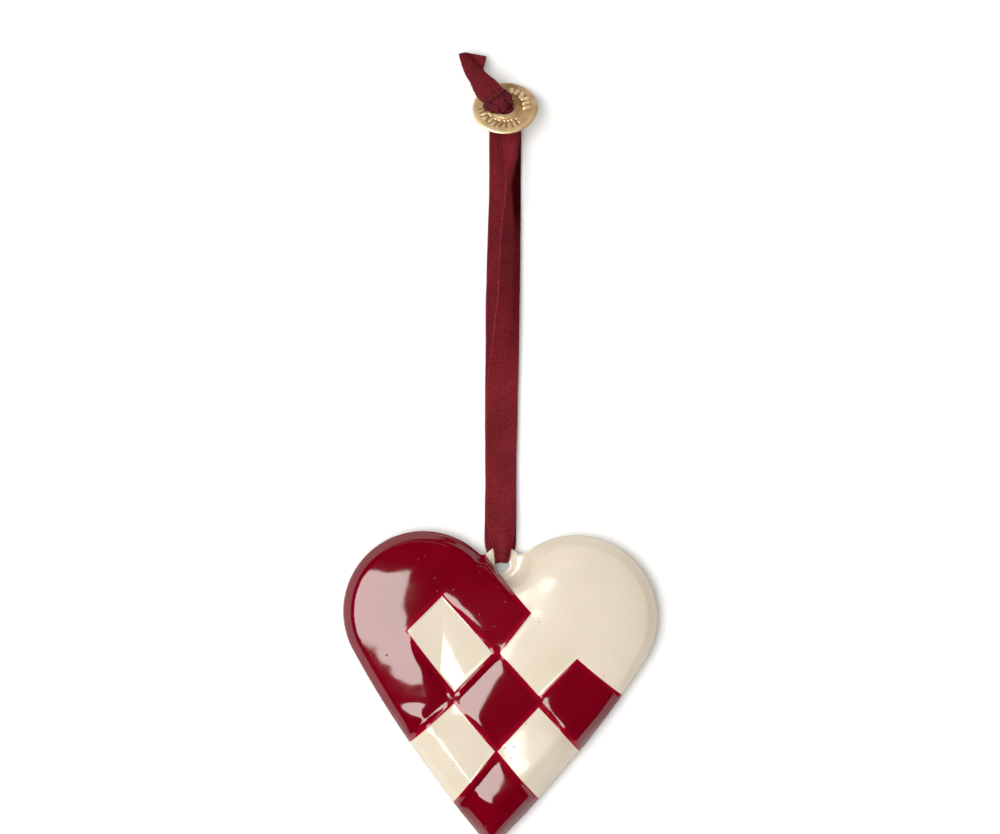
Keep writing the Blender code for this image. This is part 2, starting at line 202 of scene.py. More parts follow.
def from_uv(u, v):
    return (u - v) * R2, (-u - v) * R2


def poly(c, t):
    return c[0] + t * (c[1] + t * c[2])


def crossing(i, j):
    u = v = 0.0
    for _ in range(30):
        u = poly(EDGE_U[i], v)
        v = poly(EDGE_V[j], u)
    return u, v


NODE = {(i, j): crossing(i, j) for i in range(3) for j in range(3)}


def slack(t, q, a, b, past):
    """How far a cream edge stands back at t, between crossings a and b."""
    t0 = NODE[a][q]
    t1 = NODE[b][q] if b else t0 + past
    k = np.clip((t - t0) / (t1 - t0), 0, 1)
    return INSET.get(a, 0.0) * (1 - k) + (INSET.get(b, 0.0) if b else 0.0) * k


def v_edge(j, a, b, sign):
    return lambda u: poly(EDGE_V[j], u) + (sign * slack(u, 0, a, b, 16.0) if a else 0.0)


def u_edge(i, a, b, sign):
    return lambda v: poly(EDGE_U[i], v) + (sign * slack(v, 1, a, b, 16.0) if a else 0.0)


# Edges of the cream fields: the right lobe with the strip it sends down, then
# the first, second and third field of the weave.
L0, M0 = v_edge(0, None, None, 0), u_edge(0, None, None, 0)
G_M1, G_L1, G_M2 = u_edge(1, (1, 0), (1, 1), 1), v_edge(1, (1, 1), (2, 1), -1), u_edge(2, (2, 0), (2, 1), -1)
A_L1, A_M1, A_L2 = v_edge(1, (0, 1), (1, 1), 1), u_edge(1, (1, 1), (1, 2), -1), v_edge(2, (0, 2), (1, 2), -1)
D_L1, D_M2, D_L2 = v_edge(1, (2, 1), None, 1), u_edge(2, (2, 1), (2, 2), 1), v_edge(2, (2, 2), None, -1)
C_L2, C_M1, C_M2 = v_edge(2, (1, 2), (2, 2), 1), u_edge(1, (1, 2), None, 1), u_edge(2, (2, 2), None, -1)


def corner(fv, fu, near):
    u, v = NODE[near]
    for _ in range(40):
        u = fu(v)
        v = fv(u)
    return u, v


def colour_edges(step=0.3):
    """Each edge as kind, weight, points in u and v.  Red lies on top at a "v" edge, cream at a "u" edge."""
    p10, p20 = corner(L0, G_M1, (1, 0)), corner(L0, G_M2, (2, 0))
    g11, g21 = corner(G_L1, G_M1, (1, 1)), corner(G_L1, G_M2, (2, 1))
    a01, a11 = corner(A_L1, M0, (0, 1)), corner(A_L1, A_M1, (1, 1))
    a12, a02 = corner(A_L2, A_M1, (1, 2)), corner(A_L2, M0, (0, 2))
    d21, d22 = corner(D_L1, D_M2, (2, 1)), corner(D_L2, D_M2, (2, 2))
    c12, c22 = corner(C_L2, C_M1, (1, 2)), corner(C_L2, C_M2, (2, 2))
    runs = (("v", "lobe", L0, -REACH, p10[0]), ("u", "g1", G_M1, p10[1], g11[1]), ("v", "g2", G_L1, g11[0], g21[0]),
            ("u", "g3", G_M2, g21[1], p20[1]), ("v", "lobe2", L0, p20[0], REACH),
            ("u", "first", M0, a01[1], a02[1]), ("v", "a2", A_L1, a01[0], a11[0]), ("u", "a3", A_M1, a11[1], a12[1]),
            ("v", "a4", A_L2, a12[0], a02[0]),
            ("v", "d1", D_L1, d21[0], REACH), ("u", "d2", D_M2, d21[1], d22[1]), ("v", "d3", D_L2, d22[0], REACH),
            ("v", "c1", C_L2, c12[0], c22[0]), ("u", "c2", C_M1, c12[1], REACH), ("u", "c3", C_M2, c22[1], REACH))
    out = []
    for kind, name, f, s0, s1 in runs:
        t = np.linspace(s0, s1, max(2, int(abs(s1 - s0) / step)) + 1)
        w = np.array([f(x) for x in t])
        out.append((kind, name, np.stack([t, w] if kind == "v" else [w, t], 1)))
    return out


def is_red(x, y):
    u, v = to_uv(x, y)
    g = (v < L0(u)) | ((u > G_M1(v)) & (u < G_M2(v)) & (v < G_L1(u)))
    a = (u > M0(v)) & (u < A_M1(v)) & (v > A_L1(u)) & (v < A_L2(u))
    d = (u > D_M2(v)) & (v > D_L1(u)) & (v < D_L2(u))
    c = (v > C_L2(u)) & (u > C_M1(v)) & (u < C_M2(v))
    return ~(g | a | d | c)


# name: depth of the groove, length and power of the steep side's rise, length of
# the gentle side's, and how far the groove lies outside the cream field (its
# steep side is red there)
GROOVE = {
    "lobe": (0.80, 0.6, 1.2, 7.5, 0.0), "lobe2": (0.90, 0.6, 1.2, 4.0, 0.0),
    "g1": (0.50, 1.0, 1.3, 3.0, 0.5), "g2": (0.60, 0.7, 1.2, 3.5, 0.0), "g3": (0.35, 0.8, 1.3, 1.9, 1.0),
    "first": (0.07, 0.8, 1.3, 3.0, 0.4), "a2": (0.95, 1.1, 1.0, 2.6, 0.0), "a3": (1.00, 0.8, 1.3, 2.3, 1.6),
    "a4": (1.75, 0.7, 1.2, 7.5, 0.0),
    "d1": (0.90, 0.7, 1.2, 2.0, 0.0), "d2": (0.70, 2.0, 1.1, 2.3, 0.2), "d3": (1.00, 0.6, 1.2, 2.6, 0.0),
    "c1": (0.90, 0.7, 1.2, 2.6, 0.0), "c2": (0.80, 1.0, 1.3, 2.3, 1.4), "c3": (1.00, 0.8, 1.3, 2.8, 1.6),
}


def relief(red, dist, edges, x):
    """0 in the grooves to 1 on the flat of a strip; dist is to each colour edge."""
    h = np.ones(len(red))
    for (kind, name, _), d in zip(edges, dist):
        depth, steep, power, soft, off = GROOVE[name]
        if name == "a2":                              # shallow at its upper end
            depth = depth * (0.45 + 0.55 * np.clip((x + 11.5) / 7.0, 0, 1))
        if name == "a4":
            depth = depth * np.clip((x + 17.4) / 6.0, 0, 1)
        over = red if kind == "v" else ~red
        s = np.where(over, d + off, d - off)          # from the groove's own line
        flank = over | (s < 0)
        s = np.sqrt(s * s + 0.05) - 0.2236
        rise = np.where(flank, 1 - np.exp(-(s / steep) ** power), 1 - np.exp(-s / soft))
        h *= 1 - depth * (1 - rise)
    return h


def wave(x, y):
    """Slow unevenness of the poured enamel."""
    return (np.sin(0.93 * x + 0.41 * y + 0.7) + np.sin(-0.52 * x + 1.07 * y + 2.1)
            + 0.6 * np.sin(1.55 * x - 0.77 * y + 4.0) + 0.5 * np.sin(0.35 * x + 1.9 * y + 1.3)) / 2.4


def tab_weight(x, y):
    r = np.hypot(x, y - TAB_Y - 0.6)
    t = np.clip((7.2 - r) / 4.2, 0, 1)
    return t * t * (3 - 2 * t)


def smooth(t):
    t = np.clip(t, 0, 1)
    return t * t * (3 - 2 * t)


def front_height(p, d, soft, red, dist, edges):
    low = smooth((-0.5 - p[:, 1]) / 7.0)               # the lower sides have a broad plain bevel
    t = np.clip(d / (ROLL_W + 0.6 * low), 0, 1)
    c = np.clip(soft / CAP_D, 0, 1)
    q = soft / BEVEL
    k = BEND
    ramp = np.where(q < 1 - k, q, np.where(q > 1 + k, 1.0, q - (q - 1 + k) ** 2 / (4 * k)))
    cap = CAP_H * ((1 - (1 - c) ** 2) * (1 - low) + ramp * low)
    full = RIM_FRONT + ROLL_H - (ROLL_H + 0.6 * low) * (1 - np.sqrt(1 - (1 - t) ** 2)) + cap
    tt = np.clip(d / 0.5, 0, 1)
    tab = TAB_FRONT - 0.4 * (1 - np.sqrt(1 - (1 - tt) ** 2))
    w = tab_weight(p[:, 0], p[:, 1])
    w = np.where(red, w * np.exp(-(dist[0] / 0.3) ** 2), w)      # the red strip stands over the tab
    hole = np.clip((np.hypot(p[:, 0], p[:, 1] - HOLE_Y) - HOLE_R) / 0.35, 0, 1)
    own = 0.5 + 0.5 * smooth(np.min(dist, 0) / 0.3)    # the two colours' heights run into each other
    flow = relief(red, dist, edges, p[:, 0]) * own + relief(~red, dist, edges, p[:, 0]) * (1 - own)
    lift = RELIEF * flow * smooth(d / FADE) + 0.016 * wave(p[:, 0], p[:, 1]) * np.clip(d / 2, 0, 1)
    return (full + lift) * (1 - w) + tab * w - 0.25 * (1 - np.sqrt(1 - (1 - hole) ** 2))


def thin_out(groups, gaps, cell=0.7):
    """Keep the points of earlier groups, and later ones only where they fit."""
    kept, cells = [], {}
    for pts, g in zip(groups, gaps):
        g2 = g * g
        for x, y in pts.tolist():
            cx, cy = int(x // cell), int(y // cell)
            ok = True
            if g:
                for i in (cx - 1, cx, cx + 1):
                    for j in (cy - 1, cy, cy + 1):
                        for a, b in cells.get((i, j), ()):
                            if (x - a) ** 2 + (y - b) ** 2 < g2:
                                ok = False
                                break
                        if not ok:
                            break
                    if not ok:
                        break
            if ok:
                kept.append((x, y))
                cells.setdefault((cx, cy), []).append((x, y))
    return kept


def cut_at_loop(line, loop):
    """The stretches of a polyline inside the loop, with the exact crossing points."""
    inside = inside_loop(line, loop)
    runs, run = [], []
    crossings = []

    def cross(a, b):
        for k in range(len(loop)):
            c, d = loop[k], loop[(k + 1) % len(loop)]
            r, s = b - a, d - c
            den = r[0] * s[1] - r[1] * s[0]
            if abs(den) < 1e-12:
                continue
            t = ((c - a)[0] * s[1] - (c - a)[1] * s[0]) / den
            w = ((c - a)[0] * r[1] - (c - a)[1] * r[0]) / den
            if 0 <= t <= 1 and 0 <= w < 1:
                return k, w, a + t * r
        return None

    for i in range(len(line)):
        if inside[i]:
            if not run and i and not inside[i - 1]:
                k = cross(line[i - 1], line[i])
                if k:
                    crossings.append(k)
                    run.append(k[2])
            run.append(line[i])
        elif run:
            k = cross(line[i - 1], line[i])
            if k:
                crossings.append(k)
                run.append(k[2])
            runs.append(np.array(run))
            run = []
    if run:
        runs.append(np.array(run))
    return runs, crossings


def build_mesh(name, verts, faces, smooth=True):
    me = bpy.data.meshes.new(name)
    me.from_pydata([tuple(v) for v in verts], [], faces)
    me.validate(verbose=False)
    me.update()
    if smooth:
        me.shade_smooth()
    ob = bpy.data.objects.new(name, me)
    bpy.context.scene.collection.objects.link(ob)
    return ob


def attribute(ob, name, values):
    a = ob.data.attributes.new(name, "FLOAT", "POINT")
    a.data.foreach_set("value", np.asarray(values, np.float32))


def heart_piece():
    edges = colour_edges()
    loop = outline(0.35)
    lines, hits, creases = [], [], []
    for _, name, uv in edges:
        xy = np.stack(from_uv(uv[:, 0], uv[:, 1]), 1)
        runs, crossings = cut_at_loop(xy, loop)
        lines += runs
        hits += crossings
        creases += [(run, GROOVE[name][4]) for run in runs]
    # the ends of the colour edges become points of the outline
    for k, w, q in sorted(hits, key=lambda h: (h[0], h[1]), reverse=True):
        a, b = loop[k], loop[(k + 1) % len(loop)]
        near = k if np.linalg.norm(q - a) < 0.1 else (k + 1) % len(loop) if np.linalg.norm(q - b) < 0.1 else None
        if near is None:
            loop = np.insert(loop, k + 1, q, axis=0)
        else:
            loop[near] = q
    n = len(loop)
    hole = np.array(arc(0.0, HOLE_Y, HOLE_R, 0, -2 * math.pi, 56))
    inward = ring_normals(loop)

    def plan(fill, rings, rows):
        groups, gaps = [loop, hole], [0.0, 0.0]
        keep_lines = []
        for line in lines:
            groups.append(line)
            gaps.append(0.06)
            keep_lines.append(line)
        for off in rings:
            groups.append(loop + inward * off)
            gaps.append(0.13)
        for off in (0.12, 0.3, 0.55):
            groups.append(np.array(arc(0.0, HOLE_Y, HOLE_R + off, 0, -2 * math.pi, 56)))
            gaps.append(0.10)
        if fill < 0.5:                       # rows on the grooves that lie beside a colour edge
            for line, off in creases:
                for o in (off - 0.2, off, off + 0.2) if off else ():
                    for side in (-1, 1):
                        t = np.gradient(line, axis=0)
                        t /= np.linalg.norm(t, axis=1)[:, None] + 1e-9
                        groups.append(line + np.stack([-t[:, 1], t[:, 0]], 1) * (o * side))
                        gaps.append(0.13)
        for off in rows:
            for line in lines:
                t = np.gradient(line, axis=0)
                t /= np.linalg.norm(t, axis=1)[:, None] + 1e-9
                groups.append(line + np.stack([-t[:, 1], t[:, 0]], 1) * off)
                gaps.append(0.6 * min(fill, 0.3))
        ys = np.arange(TIP_AT - 2, 34.5, fill * 0.866)
        xs = np.arange(-33, 33, fill)
        groups.append(np.array([(x + (fill / 2 if r % 2 else 0), y) for r, y in enumerate(ys) for x in xs]))
        gaps.append(0.72 * fill)
        clean = []
        for i, g in enumerate(groups):
            if i < 2 + len(keep_lines):
                clean.append(g)
                continue
            g = g[inside_loop(g, loop)]
            far = np.hypot(g[:, 0], g[:, 1] - HOLE_Y) > HOLE_R + 0.07
            g = g[far]
            clean.append(g)
        pts = thin_out(clean, gaps)
        index = {(round(x, 6), round(y, 6)): i for i, (x, y) in enumerate(pts)}
        cons = []
        for line in keep_lines:
            ids = [index.get((round(x, 6), round(y, 6))) for x, y in line.tolist()]
            ids = [i for i in ids if i is not None]
            cons += [(a, b) for a, b in zip(ids, ids[1:]) if a != b]
        m = len(hole)
        cons += [(n + i, n + (i + 1) % m) for i in range(m)]
        cons += [(i, (i + 1) % n) for i in range(n)]
        co, _, faces, orig, _, _ = delaunay_2d_cdt([Vector(p) for p in pts], cons, [], 0, 1e-5)
        co = np.array([tuple(c) for c in co])
        where = np.full(len(pts), -1)
        for new, olds in enumerate(orig):
            for o in olds:
                where[o] = new
        tri = np.array([f for f in faces if len(f) == 3])
        mid = co[tri].mean(1)
        ok = inside_loop(mid, loop) & (np.hypot(mid[:, 0], mid[:, 1] - HOLE_Y) > HOLE_R * 0.998)
        return co, tri[ok], where[:n], where[n:n + m]

    def fields(co):
        uv = np.stack(to_uv(co[:, 0], co[:, 1]), 1)
        dist = [reach(uv, e[2][:-1], e[2][1:]) for e in edges]
        return dist

    nxt = np.roll(loop, -1, 0)
    # front
    co_f, tri_f, ring_f, hole_f = plan(0.36, (0.10, 0.24, 0.42, 0.66, 0.96, 1.3, 1.7, 2.1), (0.22, -0.22, 0.5, -0.5, 0.85, -0.85))
    d = reach(co_f, loop, nxt)
    soft = np.where(d < 0.8, d, reach(co_f, loop, nxt, True))
    dist = fields(co_f)
    d[ring_f] = 0
    soft[ring_f] = 0
    # the colour of the field each point lies in
    red = is_red(co_f[:, 0], co_f[:, 1])
    z_f = front_height(co_f, d, soft, red, dist, edges)
    seam_f = np.min(dist, 0)
    # back
    co_b, tri_b, ring_b, hole_b = plan(0.9, (0.3, 0.8, 1.5, 2.4, 3.6), (0.35, -0.35))
    db = reach(co_b, loop, nxt)
    db[ring_b] = 0
    dist_b = fields(co_b)
    seam_b = np.min(dist_b, 0)
    t = np.clip(db / BACK_ROLL, 0, 1)
    roll = RIM_BACK * (1 - np.sqrt(1 - (1 - t) ** 2))
    w = tab_weight(co_b[:, 0], co_b[:, 1])
    wt = np.clip((w - 0.35) / 0.5, 0, 1)
    z_b = roll * (1 - wt) + RIM_BACK * wt
    z_b = z_b + 0.16 * np.exp(-(seam_b / 0.28) ** 2) * (1 - wt) * np.clip(db / 1.5, 0, 1)

    nf, nb = len(co_f), len(co_b)
    verts = [np.column_stack([co_f, z_f]), np.column_stack([co_b, z_b])]
    faces = [tri_f, tri_b[:, ::-1] + nf]
    rim = [d, np.full(nb, 5.0)]
    seam = [seam_f, seam_b]
    base = nf + nb

    def wall(top, bottom, xy, levels, bulge, base):
        """Quads from a front ring down to a back ring."""
        quads = []
        za, zb = z_f[top], z_b[bottom]
        rings = [np.asarray(top)]
        extra = []
        m = len(top)
        for k in range(1, levels):
            s = k / levels
            ring = np.arange(m) + base + m * (k - 1)
            extra.append(np.column_stack([xy + bulge * math.sin(math.pi * s), za + (zb - za) * s]))
            rings.append(ring)
        rings.append(np.asarray(bottom) + nf)
        for a, b in zip(rings, rings[1:]):
            for i in range(m):
                j = (i + 1) % m
                quads.append((a[i], b[i], b[j], a[j]))
        return extra, quads

    extra1, quads1 = wall(ring_f, ring_b, loop, 4, 0.0 * inward, base)
    verts += extra1
    base += sum(len(e) for e in extra1)
    extra2, quads2 = wall(hole_f, hole_b, hole, 4, 0.0, base)
    quads2 = [q[::-1] for q in quads2]
    verts += extra2
    n_extra = sum(len(e) for e in extra1) + sum(len(e) for e in extra2)
    rim.append(np.zeros(n_extra))
    seam.append(np.full(n_extra, 5.0))
    allv = np.concatenate(verts)
    tris = np.concatenate(faces)
    mid = allv[tris].mean(1)
    red_face = is_red(mid[:, 0], mid[:, 1])
    faces = [tuple(int(i) for i in f) for f in tris] + [tuple(int(i) for i in q) for q in quads1 + quads2]
    qm = np.array([(loop[i] + loop[(i + 1) % n]) / 2 + inward[i] * 0.02 for i in range(n)])
    wall_red = is_red(qm[:, 0], qm[:, 1])
    slots = list(np.where(red_face, 0, 1)) + [0 if wall_red[i % n] else 1 for i in range(len(quads1))] + [1] * len(quads2)
    ob = build_mesh("enamelled_heart", world(allv), faces)
    me = ob.data
    me.polygons.foreach_set("material_index", np.array(slots[:len(me.polygons)], np.int32))
    attribute(ob, "seam", np.concatenate(seam))
    attribute(ob, "rim", np.concatenate(rim))
    return ob


# ------------------------------------------------------------- the ribbon
def smooth_route(knots, step):
    """Points about a step apart on a smooth curve through the knots; s runs along the first three."""
    k = np.array(knots, float)
    s = np.concatenate([[0], np.cumsum(np.linalg.norm(np.diff(k[:, :3], axis=0), axis=1))])
    m = np.zeros_like(k)
    m[1:-1] = (k[2:] - k[:-2]) / (s[2:] - s[:-2])[:, None]
    m[0] = (k[1] - k[0]) / (s[1] - s[0])
    m[-1] = (k[-1] - k[-2]) / (s[-1] - s[-2])
    out = []
    for i in range(len(k) - 1):
        h = s[i + 1] - s[i]
        parts = max(1, round(h / step))
        for q in range(parts):
            t = q / parts
            a, b = 2 * t ** 3 - 3 * t * t + 1, t ** 3 - 2 * t * t + t
            c, e = -2 * t ** 3 + 3 * t * t, t ** 3 - t * t
            out.append(a * k[i] + b * h * m[i] + c * k[i + 1] + e * h * m[i + 1])
    out.append(k[-1])
    return np.array(out)


def disc_axes():
    n = Vector((0, math.sin(DISC_LEAN), math.cos(DISC_LEAN)))
    e = Vector((0, -math.cos(DISC_LEAN), math.sin(DISC_LEAN)))
    turn = Matrix.Rotation(DISC_TURN, 3, "Z")
    return np.array(turn @ n), np.array(turn @ e)


DISC_N, DISC_E = disc_axes()
DISC_F = np.cross(DISC_N, DISC_E)


def ribbon_section(s, left, crest, right, at_crest, crown, pleat):
    """Middle line of a band's section: bent at the crest, or crowned, or pleated.

    s runs 0 to 1 across; left, crest and right are (x, z)."""
    left, crest, right = (np.asarray(p, float) for p in (left, crest, right))
    c = min(max(at_crest, 0.02), 0.98)
    k = np.clip(s / c, 0, 1)[:, None]
    q = np.clip((s - c) / (1 - c), 0, 1)[:, None]
    p = np.where(s[:, None] < c, left + (crest - left) * k, crest + (right - crest) * q)
    # round the bend
    bend = np.exp(-((s - c) / 0.07) ** 2)[:, None]
    p = p + bend * 0.12 * (0.5 * (left + right) - crest) / (np.linalg.norm(0.5 * (left + right) - crest) + 0.4)
    p[:, 1] += crown * (1 - (2 * s - 1) ** 2) + pleat * np.cos(2 * math.pi * 1.5 * s)
    return p


def band(name, rows, across, rib_depth=0.022, edge_wave=0.05, close_ends=True, seed=1):
    """A woven band.  rows: origin (3), side (3), up (3), then left, crest, right (x, z), crest share,
    crown, pleat, thickness; one row a step, steps a fifth of a rib apart."""
    s = (1 - np.cos(np.linspace(0, math.pi, across))) / 2
    s = 0.35 * s + 0.65 * np.linspace(0, 1, across)
    n = len(rows)
    origins = np.array([r[0] for r in rows])
    length = np.concatenate([[0], np.cumsum(np.linalg.norm(np.diff(origins, axis=0), axis=1))])
    wob = np.random.default_rng(seed)
    slow = np.interp(length, np.linspace(0, length[-1], 24), wob.normal(0, 0.03, 24))
    top, bottom, u_at, v_at, inner = [], [], [], [], []
    for i, (o, side, up, left, crest, right, c, crown, pleat, thick) in enumerate(rows):
        p = ribbon_section(s, left, crest, right, c, crown, pleat)
        t = np.gradient(p, axis=0)
        t /= np.linalg.norm(t, axis=1)[:, None] + 1e-9
        nrm = np.stack([-t[:, 1], t[:, 0]], 1)
        phase = 2 * math.pi * length[i] / RIB + 7.0 * slow[i]
        rib = rib_depth * (1 - 2 * abs(math.cos(phase / 2)) ** 5)
        edge = np.minimum(s, 1 - s) * RIBBON_W
        body = np.clip(edge / 0.35, 0, 1)
        half = thick / 2 * np.sqrt(np.clip(1 - (1 - np.clip(edge / 0.16, 0, 1)) ** 2, 0.02, 1))
        cord_edge = 0.05 * np.exp(-((edge - 0.22) / 0.14) ** 2)
        amp = rib * body + cord_edge + slow[i] * 0.2
        out = np.where(s < 0.5, -1.0, 1.0) * np.exp(-edge / 0.25)
        shift = out * (edge_wave * math.cos(phase) + slow[i])
        q = p + t * shift[:, None]
        a = q + nrm * (half + amp)[:, None]
        b = q - nrm * (half + amp * 0.7)[:, None]
        top.append(o + a[:, :1] * side + a[:, 1:] * up)
        bottom.append(o + b[:, :1] * side + b[:, 1:] * up)
        u_at.append((s - 0.5) * RIBBON_W)
        v_at.append(np.full(across, length[i]))
        # painted shade: where the strand's far side drops steeply from its crest it turns from the light, and this mask
        # darkens its colour there
        drop = min(max((crest[1] - right[1]) / 3.0 - 0.25, 0.0), 1.0)
        inner.append(drop * np.clip((s - c) / (1 - c) * 2.2, 0, 1) ** 1.5 * 0.85)
    top, bottom = np.array(top), np.array(bottom)
    ring = np.concatenate([top, bottom[:, ::-1]], 1)       # (n, 2*across, 3)
    m = ring.shape[1]
    verts = ring.reshape(-1, 3)
    faces = []
    for i in range(n - 1):
        a0, b0 = i * m, (i + 1) * m
        for k in range(m):
            j = (k + 1) % m
            faces.append((a0 + k, b0 + k, b0 + j, a0 + j))
    if close_ends:
        for i, flip in ((0, False), (n - 1, True)):
            for k in range(across - 1):
                f = (i * m + k, i * m + k + 1, i * m + m - 2 - k, i * m + m - 1 - k)
                faces.append(f[::-1] if flip else f)
    ob = build_mesh(name, world(verts), faces)
    u_at = np.array(u_at)
    v_at = np.array(v_at)
    attribute(ob, "across", np.concatenate([u_at, u_at[:, ::-1]], 1).ravel())
    attribute(ob, "along", np.concatenate([v_at, v_at[:, ::-1]], 1).ravel())
    inner = np.array(inner)
    attribute(ob, "inner", np.concatenate([inner, inner[:, ::-1] * 0], 1).ravel())
    fix_facing(ob)
    return ob


def fix_facing(ob):
    """Turn the faces outwards if the closed mesh is inside out."""
    me = ob.data
    co = np.empty(len(me.vertices) * 3)
    me.vertices.foreach_get("co", co)
    co = co.reshape(-1, 3)
    vol = 0.0
    me.calc_loop_triangles()
    tri = np.empty(len(me.loop_triangles) * 3, np.int32)
    me.loop_triangles.foreach_get("vertices", tri)
    t = co[tri.reshape(-1, 3)]
    vol = (t[:, 0] * np.cross(t[:, 1], t[:, 2])).sum()
    if vol < 0:
        me.flip_normals()


X_AXIS, Y_AXIS, Z_AXIS = np.eye(3)
RIB_STEP = RIB / 5

# The upper strand in the picture: row, left edge, crest, right edge, then the
# heights of the three, the crest's share of the width, crown and pleats.
UPPER = (
    (563.2, 495.2, 501.8, 508.6, 1.9, 2.0, 1.9, 0.5, 0.0, 0.10),
    (561.0, 494.8, 501.8, 508.8, 2.6, 2.9, 2.6, 0.5, 0.1, 0.22),
    (557.0, 494.2, 501.8, 509.6, 2.9, 3.2, 2.8, 0.5, 0.1, 0.28),
    (551.0, 493.4, 501.8, 510.8, 2.9, 3.2, 2.8, 0.5, 0.1, 0.28),
    (545.0, 491.8, 501.6, 512.6, 2.7, 3.0, 2.6, 0.5, 0.1, 0.24),
    (538.0, 489.6, 501.0, 514.2, 2.2, 2.6, 2.2, 0.5, 0.1, 0.18),
    (530.0, 487.9, 500.9, 515.4, 1.8, 2.1, 1.8, 0.5, 0.0, 0.10),
    (515.0, 486.8, 501.0, 516.2, 1.45, 1.6, 1.45, 0.5, 0.0, 0.05),
    (490.0, 486.4, 501.2, 516.3, 1.15, 1.2, 1.15, 0.5, 0.0, 0.02),
    (455.0, 486.3, 501.4, 516.6, 1.05, 1.05, 1.05, 0.5, 0.05, 0.0),
    (420.0, 486.5, 502.0, 517.3, 1.10, 1.10, 1.05, 0.5, 0.05, 0.0),
    (390.0, 486.9, 502.6, 518.0, 1.25, 1.20, 1.05, 0.5, 0.05, 0.0),
    (372.0, 487.8, 503.2, 518.5, 1.75, 1.45, 1.05, 0.5, 0.05, 0.0),
    (354.0, 490.6, 504.8, 518.8, 3.0, 2.10, 1.05, 0.5, 0.05, 0.0),
    (319.0, 494.5, 507.0, 519.3, 4.3, 2.75, 1.05, 0.5, 0.10, 0.0),
    (296.0, 497.5, 508.7, 519.6, 4.9, 3.00, 1.05, 0.5, 0.10, 0.0),
    (268.0, 498.7, 509.4, 519.9, 5.1, 3.10, 1.05, 0.5, 0.10, 0.0),
    (232.0, 500.6, 510.4, 520.2, 5.5, 3.30, 1.05, 0.5, 0.10, 0.0),
    (205.0, 503.6, 509.0, 520.3, 6.0, 5.10, 1.05, 0.25, 0.05, 0.0),
    (186.0, 504.8, 507.0, 520.3, 6.0, 6.05, 1.05, 0.08, 0.0, 0.0),
    (172.0, 504.2, 510.6, 520.3, 5.0, 5.45, 1.05, 0.24, 0.0, 0.0),
    (160.0, 503.7, 514.5, 520.3, 3.7, 4.50, 1.05, 0.40, 0.0, 0.0),
    (148.0, 503.0, 516.3, 520.3, 3.0, 3.95, 1.05, 0.47, 0.0, 0.0),
    (137.0, 502.5, 517.5, 520.4, 2.4, 3.50, 1.05, 0.52, 0.0, 0.0),
    (128.0, 500.5, 515.5, 519.8, 2.3, 3.00, 1.30, 0.52, 0.0, 0.0),
)
LOWER = (
    (560.0, 493.5, 501.6, 509.4, 0.95, 0.9, 0.95, 0.5, 0.0, 0.12),
    (556.0, 490.0, 501.0, 513.0, 0.75, 0.7, 0.75, 0.5, 0.0, 0.10),
    (548.0, 485.5, 500.8, 515.8, 0.60, 0.55, 0.60, 0.5, 0.0, 0.06),
    (538.0, 484.2, 500.6, 516.4, 0.45, 0.45, 0.45, 0.5, 0.0, 0.02),
    (520.0, 484.6, 500.8, 516.4, BACK_Z, BACK_Z, BACK_Z, 0.5, 0.0, 0.0),
    (480.0, 485.0, 500.8, 516.4, BACK_Z, BACK_Z, BACK_Z, 0.5, 0.0, 0.0),
    (440.0, 485.0, 501.0, 516.6, BACK_Z, BACK_Z, BACK_Z, 0.5, 0.0, 0.0),
    (400.0, 485.2, 501.4, 517.2, BACK_Z, BACK_Z, BACK_Z, 0.5, 0.0, 0.0),
    (350.0, 485.6, 501.6, 518.0, BACK_Z, BACK_Z, BACK_Z, 0.5, 0.0, 0.0),
    (300.0, 485.9, 502.0, 518.6, BACK_Z, BACK_Z, BACK_Z, 0.5, 0.0, 0.0),
    (250.0, 487.2, 503.0, 519.2, BACK_Z, BACK_Z, BACK_Z, 0.5, 0.0, 0.0),
    (210.0, 488.6, 504.2, 519.6, BACK_Z, BACK_Z, BACK_Z, 0.5, 0.0, 0.0),
    (170.0, 489.2, 504.6, 519.8, BACK_Z, BACK_Z, BACK_Z, 0.5, 0.0, 0.0),
    (150.0, 489.2, 504.6, 519.8, BACK_Z, BACK_Z, BACK_Z, 0.5, 0.0, 0.0),
    (136.0, 489.2, 504.6, 519.8, 0.45, 0.45, 0.45, 0.5, 0.0, 0.0),
    (128.0, 489.6, 504.2, 518.8, 0.75, 0.75, 0.75, 0.5, 0.0, 0.0),
)


def flat_rows(table):
    """Rows of the strand where it runs along Y, from its table in the picture."""
    out = []
    for py, xl, xc, xr, zl, zc, zr, share, crown, pleat in table:
        l, c, r = at(xl, py, zl), at(xc, py, zc), at(xr, py, zr)
        out.append((0.5 * (l[0] + r[0]), 0.5 * (l[1] + r[1]), 0.0, l[0], zl, c[0], zc, r[0], zr, share, crown, pleat))
    return out


